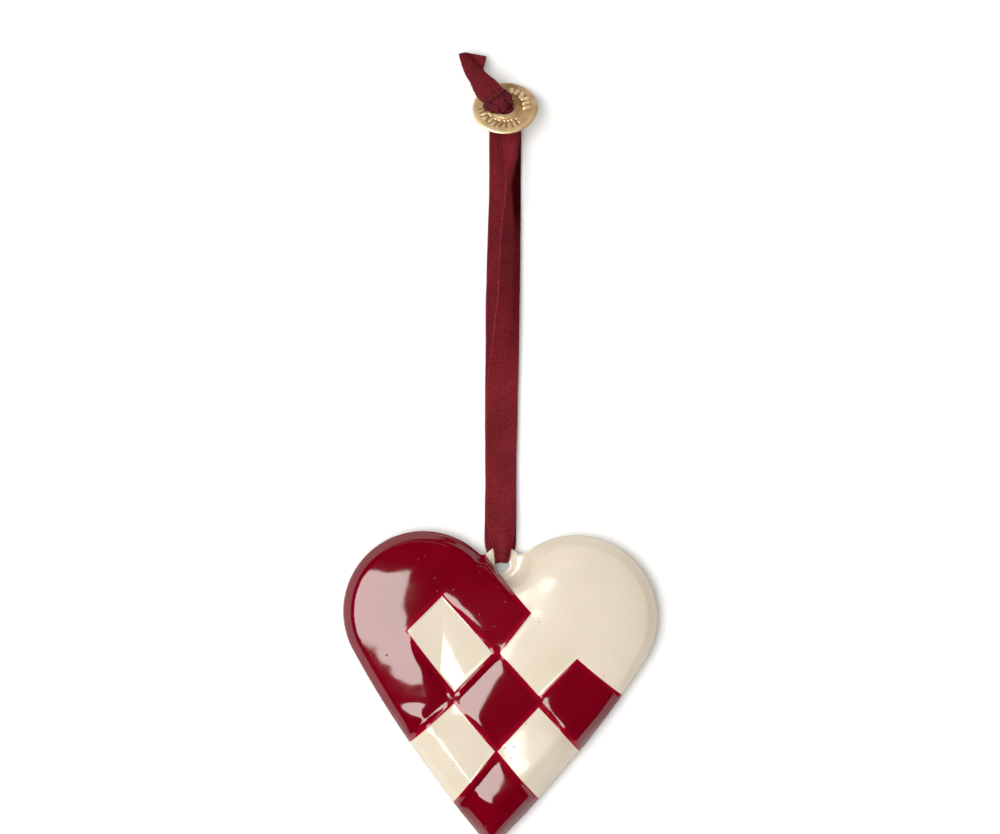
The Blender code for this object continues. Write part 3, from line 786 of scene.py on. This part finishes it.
def strand_rows(front):
    """Every row of one strand, and the points its middle follows."""
    up = 1 if front else -1
    c = np.array(DISC_AT)
    off = DISC_E * 0.66 * up
    table = flat_rows(UPPER if front else LOWER)
    rows = []
    # out of the tab's hole: a short upright stretch, then over the edge
    edge_y = HOLE_Y + HOLE_R
    mid = (1.40 + 2.60) / 2
    first = table[0]
    x0 = first[0]
    for y, z, w in ((edge_y - 0.90, mid + 0.22 * up, 2.5), (edge_y - 0.92, mid + 0.5 * up, 2.6)):
        rows.append((x0, y, z, -w / 2, 0, 0, 0, w / 2, 0, 0.5, 0.0, 0.10, RIBBON_T))
    for r in table:
        cx, y = r[0], r[1]
        zc = 0.5 * (r[4] + r[8])
        if not front or r is not table[0]:
            rows.append((cx, y, zc, r[3] - cx, r[4] - zc, r[5] - cx, r[6] - zc, r[7] - cx, r[8] - zc,
                         r[9], r[10], r[11], RIBBON_T))
    # under the disc and up through its hole
    for k, w, z in ((2.6, 4.6, 0), (1.1, 3.4, 0), (-0.15, 3.3, 0)):
        q = c - DISC_N * k + off * (0.95 if k > 2 else 1.0) + (np.array([0, -0.4, 0]) if k > 2 else 0)
        rows.append((q[0], q[1], q[2], -w / 2, 0, 0, 0, w / 2, 0, 0.5, 0.0, 0.2 if k < 2 else 0.1, RIBBON_T))
    rows = smooth_route(rows, RIB_STEP)
    path = rows[:, :3]
    tan = np.gradient(path, axis=0)
    tan /= np.linalg.norm(tan, axis=1)[:, None]
    out = []
    for o, t, r in zip(path, tan, rows):
        side = X_AXIS - t * (X_AXIS @ t)
        side /= np.linalg.norm(side)
        upv = np.cross(side, t)
        out.append((o, side, upv, (r[3], r[4]), (r[5], r[6]), (r[7], r[8]), r[9], r[10], r[11], r[12]))
    return out, path


# ------------------------------------------------------- the knot and tails
def strip(name, rows, across=30, thick=RIBBON_T, step=RIB_STEP, rib_depth=0.03, seed=3):
    """A strip between two edges given in the picture: row = left (px, py, z), right (px, py, z), crown."""
    knots = []
    for l, r, crown in rows:
        a, b = (*at(*l), l[2]), (*at(*r), r[2])
        m = [(p + q) / 2 for p, q in zip(a, b)]
        knots.append((*m, *a, *b, crown))
    k = smooth_route(knots, step)
    path = k[:, :3]
    tan = np.gradient(path, axis=0)
    tan /= np.linalg.norm(tan, axis=1)[:, None] + 1e-9
    out = []
    for r, t in zip(k, tan):
        a, b = r[3:6], r[6:9]
        side = b - a
        w = np.linalg.norm(side)
        side /= w
        up = np.cross(side, t)
        up /= np.linalg.norm(up)
        if up[2] < 0:
            up = -up
        out.append(((a + b) / 2, side, up, (-w / 2, 0.0), (0.0, 0.0), (w / 2, 0.0), 0.5, r[9], 0.0, thick))
    return band(name, out, across, rib_depth=rib_depth, seed=seed)


def knot_body():
    """The half hitch itself: a tight lump with the ribbon's folds wound round it."""
    k0 = np.array(DISC_AT) + DISC_N * (DISC_T / 2 + 0.30 + 1.75)
    ax, ay = at(498.0, 101.5, 6.5)
    centre = np.array([ax, ay, k0[2]])
    along = np.array([-0.45, 0.89, -0.12])
    along /= np.linalg.norm(along)
    across = np.cross(along, Z_AXIS)
    across /= np.linalg.norm(across)
    up = np.cross(across, along)
    nu, nv = 150, 110
    verts, fold = [], []
    for j in range(nv + 1):
        b = math.pi * j / nv
        for i in range(nu):
            a = 2 * math.pi * i / nu
            p = np.array([math.sin(b) * math.cos(a), math.cos(b), math.sin(b) * math.sin(a)])
            # folds that run from the tail to a pinch at the foot, and the turn that grips them
            fan = math.atan2(p[0] + 0.15, p[1] + 1.45)
            w = 4.6 * fan + 0.8 * math.sin(2.2 * p[1] + 1.0) + 0.5 * p[2]
            ridge = abs(math.sin(w)) ** 0.6
            deep = math.sin(b) ** 0.8
            grip = math.exp(-((p[1] - 0.30 - 0.35 * p[0]) / 0.13) ** 2)
            r = 1.0 + 0.20 * (ridge - 0.7) * deep - 0.13 * grip * max(p[2], 0.0) + 0.05 * math.sin(3 * a + 2 * p[1]) * deep
            # painted shade: the fold mask is lowered under the gripping turn, so the colour darkens there
            ridge = min(ridge, 1 - 0.8 * grip)
            q = centre + across * (p[0] * 2.95 * r) + along * (p[1] * 2.35 * r) + up * (p[2] * 1.75 * r)
            verts.append(q)
            fold.append(ridge)
    faces = []
    for j in range(nv):
        for i in range(nu):
            k = (i + 1) % nu
            faces.append((j * nu + i, (j + 1) * nu + i, (j + 1) * nu + k, j * nu + k))
    # the poles are rings of one place each: merge them
    verts = np.array(verts)
    ob = build_mesh("ribbon_knot", world(verts), faces)
    attribute(ob, "fold", fold)
    attribute(ob, "across", verts @ across)
    attribute(ob, "along", verts @ along)
    import bmesh
    bm = bmesh.new()
    bm.from_mesh(ob.data)
    bmesh.ops.remove_doubles(bm, verts=bm.verts, dist=1e-7)
    bm.to_mesh(ob.data)
    bm.free()
    ob.data.shade_smooth()
    fix_facing(ob)
    return ob


# --------------------------------------------------------------- the disc
def disc_piece():
    """Aged brass disc: raised rim and ring, two rows of plain shallow strokes between them."""
    c = np.array(DISC_AT)
    t = DISC_T / 2
    f = t - DISC_FIELD

    strokes = []
    marks = np.random.default_rng(5)
    # angle clockwise from the side away from the viewer's feet
    for k in range(10):
        a = math.radians(150 + 13.6 * k)
        strokes.append((a, 3.75 + marks.uniform(0, 0.1), 5.15 - marks.uniform(0, 0.25), marks.uniform(-0.42, 0.42), 0.34, -0.19 - marks.uniform(0, 0.05)))
    for k in range(6):
        a = math.radians(20 + 15.0 * k)
        strokes.append((a, 3.85 + marks.uniform(0, 0.1), 5.0 - marks.uniform(0, 0.3), marks.uniform(-0.25, 0.25), 0.46, 0.33))

    def top(r, a):
        """Height of the face over the disc's middle plane."""
        x, y = r * np.sin(a), r * np.cos(a)
        rim = 1 / (1 + np.exp(-(r - 5.65) / 0.16))
        ring = 1 / (1 + np.exp((r - 2.95) / 0.12))
        z = f + DISC_FIELD * np.maximum(0.8 * rim, 0.75 * ring) + 0.05 * np.clip((r - 3.2) / 2.2, 0, 1)
        z = z - 0.58 * (r / DISC_R) ** 2                     # the disc is a little domed
        z = z - 0.03 * np.sin(2.5 * a + 0.6) * (1 - np.maximum(rim, ring))
        z -= 0.25 * (1 - np.sqrt(np.clip(1 - (1 - np.clip((DISC_R - r) / 0.30, 0, 1)) ** 2, 0, 1)))
        z -= 0.22 * (1 - np.sqrt(np.clip(1 - (1 - np.clip((r - DISC_HOLE_R) / 0.30, 0, 1)) ** 2, 0, 1)))
        mark = np.zeros_like(r)
        for sa, r0, r1, slant, wide, height in strokes:
            sx, sy = math.sin(sa), math.cos(sa)
            px, py = -sy, sx
            ax, ay = sx * r0 + px * slant, sy * r0 + py * slant
            bx, by = sx * r1 - px * slant, sy * r1 - py * slant
            dx, dy = bx - ax, by - ay
            k = np.clip(((x - ax) * dx + (y - ay) * dy) / (dx * dx + dy * dy), 0, 1)
            dist = np.hypot(x - ax - k * dx, y - ay - k * dy)
            m = height * np.clip(1.25 - (dist / wide) ** 2 * 1.1, 0, 1)
            mark = np.where(np.abs(m) > np.abs(mark), m, mark)
        # the field bulges up a little between the sunk strokes
        arc_left = np.exp(-((r - 4.4) / 0.8) ** 2) / (1 + np.exp(-(a - 2.4) / 0.1)) / (1 + np.exp((a - 5.0) / 0.1))
        z = z + mark + 0.10 * arc_left
        wear = 0.02 * np.sin(9 * a + 3 * r) * np.sin(5.3 * r + 2 * a)
        return z + wear * 0.5, mark

    na = 420
    ang = np.linspace(0, 2 * math.pi, na, endpoint=False)
    rad = np.concatenate([np.linspace(DISC_HOLE_R, 3.4, 16)[:-1], np.linspace(3.4, 5.3, 26)[:-1], np.linspace(5.3, DISC_R, 18)])
    rr, aa = np.meshgrid(rad, ang, indexing="ij")
    z, mark = top(rr, aa)
    edge_z = z[-1]
    hole_z = z[0]
    rings = [np.stack([rr, aa, z], 2).reshape(len(rad), na, 3)]
    # outer wall, then the plain under side, then the wall of the hole
    def ring(r, zz):
        return np.stack([np.full(na, r), ang, np.full(na, 1.0) * zz], 1)[None]
    t0 = -t
    rings += [ring(DISC_R, edge_z * 0.5 + (t0 + 0.25) * 0.5), ring(DISC_R, t0 + 0.22), ring(DISC_R - 0.06, t0 + 0.09),
              ring(DISC_R - 0.20, t0), ring(DISC_R - 1.0, t0 + 0.01), ring(4.4, t0), ring(DISC_HOLE_R + 0.3, t0),
              ring(DISC_HOLE_R + 0.08, t0 + 0.08), ring(DISC_HOLE_R, t0 + 0.25), ring(DISC_HOLE_R, 0.0)]
    p = np.concatenate(rings, 0)
    q = c + (p[..., 0] * np.sin(p[..., 1]))[..., None] * DISC_F + (p[..., 0] * np.cos(p[..., 1]))[..., None] * -DISC_E \
        + p[..., 2:3] * DISC_N
    m = q.shape[0]
    verts = q.reshape(-1, 3)
    faces = []
    for i in range(m):
        j = (i + 1) % m
        for k in range(na):
            l = (k + 1) % na
            faces.append((i * na + k, j * na + k, j * na + l, i * na + l))
    ob = build_mesh("brass_disc", world(verts), faces)
    attr = np.zeros((m, na))
    attr[:len(rad)] = mark
    attribute(ob, "mark", attr.ravel())
    height = np.zeros((m, na))
    height[:len(rad)] = z - f + 0.58 * (rr / DISC_R) ** 2
    attribute(ob, "raised", height.ravel())
    # painted light and shade: one side painted lighter and the other darker, with a painted shadow of the knot beside
    # the hole
    side = np.cos(p[..., 1] - math.radians(225))
    dull = np.exp(-((p[..., 0] - 2.4) / 1.3) ** 2) * (0.5 - 0.5 * side)
    attribute(ob, "worn", (0.5 + 0.28 * p[..., 0] / DISC_R * side - 0.38 * dull).ravel())
    fix_facing(ob)
    return ob


# --------------------------------------------------------------- materials
class Nodes:
    """Small helper to wire a material."""

    def __init__(self, name):
        self.mat = bpy.data.materials.new(name)
        self.mat.use_nodes = True
        self.tree = self.mat.node_tree
        self.bsdf = self.tree.nodes["Principled BSDF"]
        self.coord = None

    def node(self, kind, **props):
        n = self.tree.nodes.new(kind)
        for k, v in props.items():
            setattr(n, k, v)
        return n

    def link(self, a, b):
        self.tree.links.new(a, b)

    def place(self):
        if self.coord is None:
            self.coord = self.node("ShaderNodeTexCoord").outputs["Object"]
        return self.coord

    def attr(self, name):
        return self.node("ShaderNodeAttribute", attribute_name=name).outputs["Fac"]

    def math(self, op, a, b=None, c=None, clamp=False):
        n = self.node("ShaderNodeMath", operation=op, use_clamp=clamp)
        for i, v in enumerate((a, b, c)):
            if v is None:
                continue
            if isinstance(v, (int, float)):
                n.inputs[i].default_value = v
            else:
                self.link(v, n.inputs[i])
        return n.outputs[0]

    def noise(self, scale, detail=3.0, rough=0.5, vector=None):
        n = self.node("ShaderNodeTexNoise")
        n.inputs["Scale"].default_value = scale
        n.inputs["Detail"].default_value = detail
        n.inputs["Roughness"].default_value = rough
        self.link(vector or self.place(), n.inputs["Vector"])
        return n.outputs["Fac"]

    def spots(self, scale, size, vector=None):
        """1 on small round spots, 0 elsewhere."""
        n = self.node("ShaderNodeTexVoronoi", feature="F1")
        n.inputs["Scale"].default_value = scale
        self.link(vector or self.place(), n.inputs["Vector"])
        r = self.node("ShaderNodeMapRange", interpolation_type="SMOOTHSTEP")
        self.link(n.outputs["Distance"], r.inputs["Value"])
        r.inputs["From Min"].default_value = size * 0.4
        r.inputs["From Max"].default_value = size
        r.inputs["To Min"].default_value = 1.0
        r.inputs["To Max"].default_value = 0.0
        return r.outputs["Result"]

    def ramp(self, fac, stops):
        n = self.node("ShaderNodeValToRGB")
        e = n.color_ramp.elements
        while len(e) < len(stops):
            e.new(0.5)
        for el, (pos, col) in zip(e, stops):
            el.position = pos
            el.color = (*col, 1)
        self.link(fac, n.inputs["Fac"])
        return n.outputs["Color"]

    def mix(self, fac, a, b, blend="MIX"):
        n = self.node("ShaderNodeMix", data_type="RGBA", blend_type=blend)
        for socket, v in ((n.inputs["Factor"], fac), (n.inputs["A"], a), (n.inputs["B"], b)):
            pass
        ins = {s.identifier: s for s in n.inputs}
        for key, v in (("Factor_Float", fac), ("A_Color", a), ("B_Color", b)):
            s = ins[key]
            if isinstance(v, (int, float)):
                s.default_value = v
            elif isinstance(v, tuple):
                s.default_value = (*v, 1)
            else:
                self.link(v, s)
        return [o for o in n.outputs if o.identifier == "Result_Color"][0]

    def span(self, value, a, b, lo=0.0, hi=1.0):
        r = self.node("ShaderNodeMapRange", interpolation_type="SMOOTHSTEP")
        self.link(value, r.inputs["Value"])
        for k, v in (("From Min", a), ("From Max", b), ("To Min", lo), ("To Max", hi)):
            r.inputs[k].default_value = v
        return r.outputs["Result"]

    def bump(self, height, distance, strength=1.0, normal=None):
        n = self.node("ShaderNodeBump")
        n.inputs["Strength"].default_value = strength
        n.inputs["Distance"].default_value = distance
        self.link(height, n.inputs["Height"])
        if normal is not None:
            self.link(normal, n.inputs["Normal"])
        return n.outputs["Normal"]

    def done(self, **sockets):
        for k, v in sockets.items():
            s = self.bsdf.inputs[k.replace("_", " ")]
            if isinstance(v, (int, float)):
                s.default_value = v
            elif isinstance(v, tuple):
                s.default_value = (*v, 1) if len(v) == 3 and s.type == "RGBA" else v
            else:
                self.link(v, s)
        return self.mat


def enamel(name, low, high, edge, seam_highlight_amount, dull):
    """Thick glossy enamel: flowed unevenly, painted lighter along the seams as a painted highlight of their lit flanks,
    with pits and dust.
    """
    n = Nodes(name)
    flow = n.noise(95.0, 2.0)
    fine = n.noise(520.0, 2.0)
    base = n.ramp(flow, ((0.30, low), (0.70, high)))
    # painted highlight: near the seams the colour is lightened towards the edge colour, standing in for the lit flanks
    near = n.span(n.attr("seam"), 0.15, 1.5, seam_highlight_amount, 0.0)
    base = n.mix(near, base, edge)
    pits = n.spots(430.0, 0.10)
    rare = n.span(n.noise(90.0, 0.0), 0.50, 0.58)
    pits = n.math("MULTIPLY", pits, rare)
    base = n.mix(n.math("MULTIPLY", pits, 0.75), base, tuple(c * 0.35 for c in low))
    rough = n.math("ADD", n.math("MULTIPLY", fine, 0.05), n.math("MULTIPLY", pits, 0.35))
    rough = n.math("ADD", rough, 0.055)
    rough = n.math("ADD", rough, n.span(n.noise(70.0, 1.0), 0.42, 0.72, 0.0, dull))     # in places
    peel = n.noise(330.0, 1.0)
    normal = n.bump(peel, 0.00006, 0.16)
    normal = n.bump(n.noise(130.0, 1.0), 0.0004, 0.10, normal)
    normal = n.bump(n.math("MULTIPLY", pits, -1.0), 0.00012, 0.7, normal)
    return n.done(Base_Color=base, Roughness=rough, Normal=normal, Metallic=0.0, IOR=1.5)


def cloth(name, bright=1.0, shade_in_folds=False, shaded=False):
    """Woven polyester ribbon: close cross ribs, warp threads, two faint rows of dots."""
    n = Nodes(name)
    along, across = n.attr("along"), n.attr("across")
    rib = n.math("ABSOLUTE", n.math("COSINE", n.math("MULTIPLY", along, math.pi / RIB)))
    groove = n.math("POWER", rib, 6.0)
    thread = n.math("SINE", n.math("MULTIPLY", across, 2 * math.pi / 0.16))
    weft = n.math("SINE", n.math("MULTIPLY", along, 2 * math.pi / 0.19))
    cell = n.math("MULTIPLY", thread, weft)
    slow = n.noise(160.0, 3.0)
    fleck = n.noise(3200.0, 2.0)
    # painted shade: a piece's copy of the cloth is darkened by this factor
    b = bright
    base = n.ramp(slow, ((0.25, (0.118 * b, 0.0040 * b, 0.0085 * b)), (0.55, (0.158 * b, 0.0060 * b, 0.0125 * b)),
                         (0.80, (0.200 * b, 0.0090 * b, 0.0170 * b))))
    # painted shade: the colour darkens in the grooves between the cross ribs
    base = n.mix(n.math("MULTIPLY", groove, 0.28), base, (0.060 * b, 0.0026 * b, 0.0055 * b))
    base = n.mix(n.span(fleck, 0.50, 0.72, 0.0, 0.34), base, (0.34 * b, 0.042 * b, 0.060 * b))
    base = n.mix(n.span(fleck, 0.28, 0.48, 0.45, 0.0), base, (0.055 * b, 0.0024 * b, 0.0055 * b))
    # painted shade: the strand's far flank is darkened towards near-black
    if shaded:
        base = n.mix(n.attr("inner"), base, (0.016, 0.0006, 0.0012))
    # painted shade: the knot's colour darkens in the valleys between its folds and under the turn that grips them
    if shade_in_folds:
        base = n.mix(n.span(n.attr("fold"), 0.15, 0.75, 0.85, 0.0), base, (0.022, 0.0010, 0.0030))
    dots = None
    for x in (-0.35, 0.75):
        d = n.math("ABSOLUTE", n.math("SUBTRACT", across, x))
        d = n.span(d, 0.05, 0.22, 1.0, 0.0)
        dots = d if dots is None else n.math("MAXIMUM", dots, d)
    beat = n.span(n.math("SINE", n.math("MULTIPLY", along, 2 * math.pi / 0.72)), 0.1, 0.8)
    dots = n.math("MULTIPLY", n.math("MULTIPLY", dots, beat), 0.40)
    base = n.mix(dots, base, (0.045 * b, 0.0020 * b, 0.0045 * b))
    edge = n.span(n.math("ABSOLUTE", across), 2.76, 2.98, 0.0, 0.40)
    base = n.mix(n.math("MULTIPLY", edge, n.span(fleck, 0.40, 0.62)), base, (0.30 * b, 0.040 * b, 0.058 * b))
    height = n.math("ADD", n.math("MULTIPLY", cell, 0.5), n.math("MULTIPLY", thread, 0.35))
    height = n.math("ADD", height, n.math("MULTIPLY", fleck, 1.6))
    normal = n.bump(height, 0.00003, 0.75)
    rough = n.span(fleck, 0.2, 0.8, 0.62, 0.86)
    shine = n.span(n.attr("inner"), 0.05, 0.60, 0.08, 0.0) if shaded else 0.08
    return n.done(Base_Color=base, Roughness=rough, Normal=normal, Metallic=0.0, Sheen_Weight=0.0 if shaded else 0.02,
                  Sheen_Roughness=0.5, Sheen_Tint=(0.75, 0.30, 0.34), Specular_IOR_Level=shine)


def brass():
    """Cast brass with an aged, lacquered look: dark in the sunk places, rubbed bright on the raised ones, with a
    painted highlight on the raised strokes, one side painted lighter and the other darker, and a painted shadow of the
    knot beside the hole.
    """
    n = Nodes("aged_brass")
    raised = n.span(n.attr("raised"), -0.05, 0.26)
    patch = n.noise(420.0, 4.0)
    fine = n.noise(2600.0, 3.0)
    base = n.ramp(patch, ((0.30, (0.54, 0.330, 0.148)), (0.65, (0.70, 0.460, 0.230))))
    base = n.mix(n.math("MULTIPLY", raised, 0.5), base, (0.90, 0.68, 0.40))
    # painted light and shade: the lighter side, the darker side and the knot's shadow, mixed with random patches
    worn = n.math("ADD", n.attr("worn"), n.math("MULTIPLY", n.math("SUBTRACT", patch, 0.5), 0.5))
    base = n.mix(n.span(worn, 0.02, 0.50, 0.85, 0.0), base, (0.27, 0.118, 0.040))
    base = n.mix(n.span(worn, 0.50, 0.78, 0.0, 0.75), base, (0.95, 0.73, 0.405))
    sunk = n.span(n.attr("mark"), -0.20, -0.03, 0.70, 0.0)
    base = n.mix(sunk, base, (0.27, 0.150, 0.065))
    # painted highlight: the raised strokes are lightened towards pale gold
    lit = n.span(n.attr("mark"), 0.05, 0.30, 0.0, 0.8)
    base = n.mix(lit, base, (0.98, 0.76, 0.46))
    rough = n.math("ADD", n.math("MULTIPLY", fine, 0.20), 0.30)
    normal = n.bump(fine, 0.00002, 0.5)
    normal = n.bump(n.noise(700.0, 3.0), 0.00008, 0.35, normal)
    return n.done(Base_Color=base, Roughness=rough, Normal=normal, Metallic=0.52, Specular_IOR_Level=0.3)


# ------------------------------------------------------------------- build
heart = heart_piece()
red_enamel = enamel("red_enamel", (0.138, 0.0001, 0.0058), (0.170, 0.0002, 0.0080), (0.33, 0.0010, 0.0170), 0.60, 0.03)
cream_enamel = enamel("cream_enamel", (0.655, 0.572, 0.452), (0.697, 0.612, 0.492), (0.72, 0.62, 0.485), 0.35, 0.11)
heart.data.materials.append(red_enamel)
heart.data.materials.append(cream_enamel)
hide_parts("heart")
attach(heart, "root")

knot = knot_body()
# painted shade: the knot's copy of the cloth is darkened to 0.62 of the strands' colour
knot.data.materials.append(cloth("ribbon_cloth_knot", 0.62, True))
tail_left = strip("ribbon_tail_left", (
    ((486.0, 104.0, 5.6), (509.0, 98.0, 5.8), 0.6),
    ((479.5, 100.0, 5.9), (505.0, 91.0, 6.2), 0.7),
    ((474.0, 92.0, 5.4), (499.5, 84.5, 5.9), 0.6),
    ((470.8, 83.5, 4.6), (492.5, 78.0, 5.2), 0.5),
    ((466.0, 76.0, 3.9), (484.0, 71.5, 4.3), 0.45),
    ((462.6, 67.0, 3.2), (476.6, 65.5, 3.6), 0.4),
    ((460.4, 59.5, 2.7), (471.0, 58.8, 3.0), 0.3),
    ((459.0, 54.0, 2.4), (466.5, 52.6, 2.6), 0.2)), seed=3)
tail_right = strip("ribbon_tail_right", (
    ((481.0, 96.0, 4.9), (506.0, 94.0, 5.0), 0.2),
    ((477.0, 86.0, 4.3), (498.0, 82.5, 4.6), 0.2),
    ((474.0, 77.0, 3.2), (488.5, 75.2, 3.5), 0.2),
    ((472.5, 70.0, 2.5), (483.6, 69.5, 2.8), 0.2),
    ((469.5, 63.0, 1.9), (485.0, 64.0, 2.5), 0.15),
    ((466.0, 56.5, 1.5), (486.0, 59.8, 2.4), 0.1),
    ((464.0, 52.4, 1.3), (486.6, 56.4, 2.3), 0.1)), seed=4)
# painted shade: the tails' copy of the cloth is darkened to 0.92 of the strands' colour
for t in (tail_left, tail_right):
    t.data.materials.append(cloth("ribbon_cloth_" + t.name[-5:], 0.92))
    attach(t, "root")
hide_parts("knot")
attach(knot, "root")

disc = disc_piece()
disc.data.materials.append(brass())
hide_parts("disc")
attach(disc, "root")

for name, node, front in (("ribbon_upper_strand", "ribbon_front", True), ("ribbon_under_strand", "ribbon_back", False)):
    rows, path = strand_rows(front)
    ob = band(name, rows, 28, seed=7 if front else 8)
    ob.data.materials.append(cloth("cloth_" + name, shaded=front))
    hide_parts(node)
    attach(ob, "root")

# -------------------------------------------------- floor, lights and camera
floor_mesh = bpy.data.meshes.new("floor")
F = 3.0
floor_mesh.from_pydata([(-F, -F, 0), (F, -F, 0), (F, F, 0), (-F, F, 0)], [], [(0, 1, 2, 3)])
floor = bpy.data.objects.new("floor", floor_mesh)
floor.location.z = -0.0001
bpy.context.scene.collection.objects.link(floor)
n = Nodes("paper_white")
floor_mesh.materials.append(n.done(Base_Color=n.ramp(n.noise(3.0, 2.0), ((0.3, (0.93, 0.93, 0.925)), (0.7, (0.95, 0.95, 0.945)))),
                                   Roughness=0.95, Specular_IOR_Level=0.0))


def panel(name, centre, target, wide, high, radiance, colour=(1, 1, 1), glossy=True, diffuse=True):
    """A flat soft light of a given brightness."""
    light = bpy.data.lights.new(name, "AREA")
    light.shape = "RECTANGLE"
    light.size, light.size_y = wide, high
    light.energy = radiance * math.pi * wide * high
    light.color = colour
    ob = bpy.data.objects.new(name, light)
    bpy.context.scene.collection.objects.link(ob)
    z = (Vector(centre) - Vector(target)).normalized()
    y = Vector((0, 1, 0))
    y = (y - y.dot(z) * z).normalized()
    x = y.cross(z)
    ob.matrix_world = Matrix.Translation(centre) @ Matrix((x, y, z)).transposed().to_4x4()
    ob.visible_glossy = glossy
    ob.visible_diffuse = diffuse
    ob.visible_camera = False
    return ob


KEY = math.radians(32.5)
kx, kz = -1.1 * math.sin(KEY), 1.1 * math.cos(KEY)
panel("key_softbox", (kx, 0.0, kz), (0, 0.0, 0), 0.866, 0.88, 11.0, (1.0, 1.0, 0.94), diffuse=False)
panel("key_spill", (kx * 0.85, -0.05, kz * 1.05), (0, -0.05, 0), 0.9, 1.1, 3.7, (1.0, 0.99, 0.97), glossy=False)
panel("overhead_fill", (0.0, 0.06, 1.5), (0.0, 0.06, 0.0), 2.2, 2.2, 0.78, glossy=False)
panel("back_wall", (-0.25, 1.25, 0.42), (0.0, 0.0, 0.0), 1.5, 0.42, 0.34, (1.0, 0.96, 0.90), diffuse=False)

scene = bpy.context.scene
w = bpy.data.worlds.new("studio")
w.use_nodes = True
w.node_tree.nodes["Background"].inputs["Color"].default_value = (1.0, 0.99, 0.97, 1)
w.node_tree.nodes["Background"].inputs["Strength"].default_value = 0.30
w.cycles_visibility.glossy = False
scene.world = w
scene.view_settings.view_transform = "Standard"

cam_data = bpy.data.cameras.new("camera")
cam_data.lens = LENS
cam_data.sensor_width = SENSOR
cam_data.sensor_fit = "HORIZONTAL"
cam_data.clip_start = 0.01
cam = bpy.data.objects.new("camera", cam_data)
scene.collection.objects.link(cam)
ex, ey = at(500.0, 417.0)
cam.location = ((ex - MID_X) * MM, (ey - MID_Y) * MM, (EYE + PLANE_Z) * MM)
cam.rotation_euler = (0.0, 0.0, TURN)
scene.camera = cam
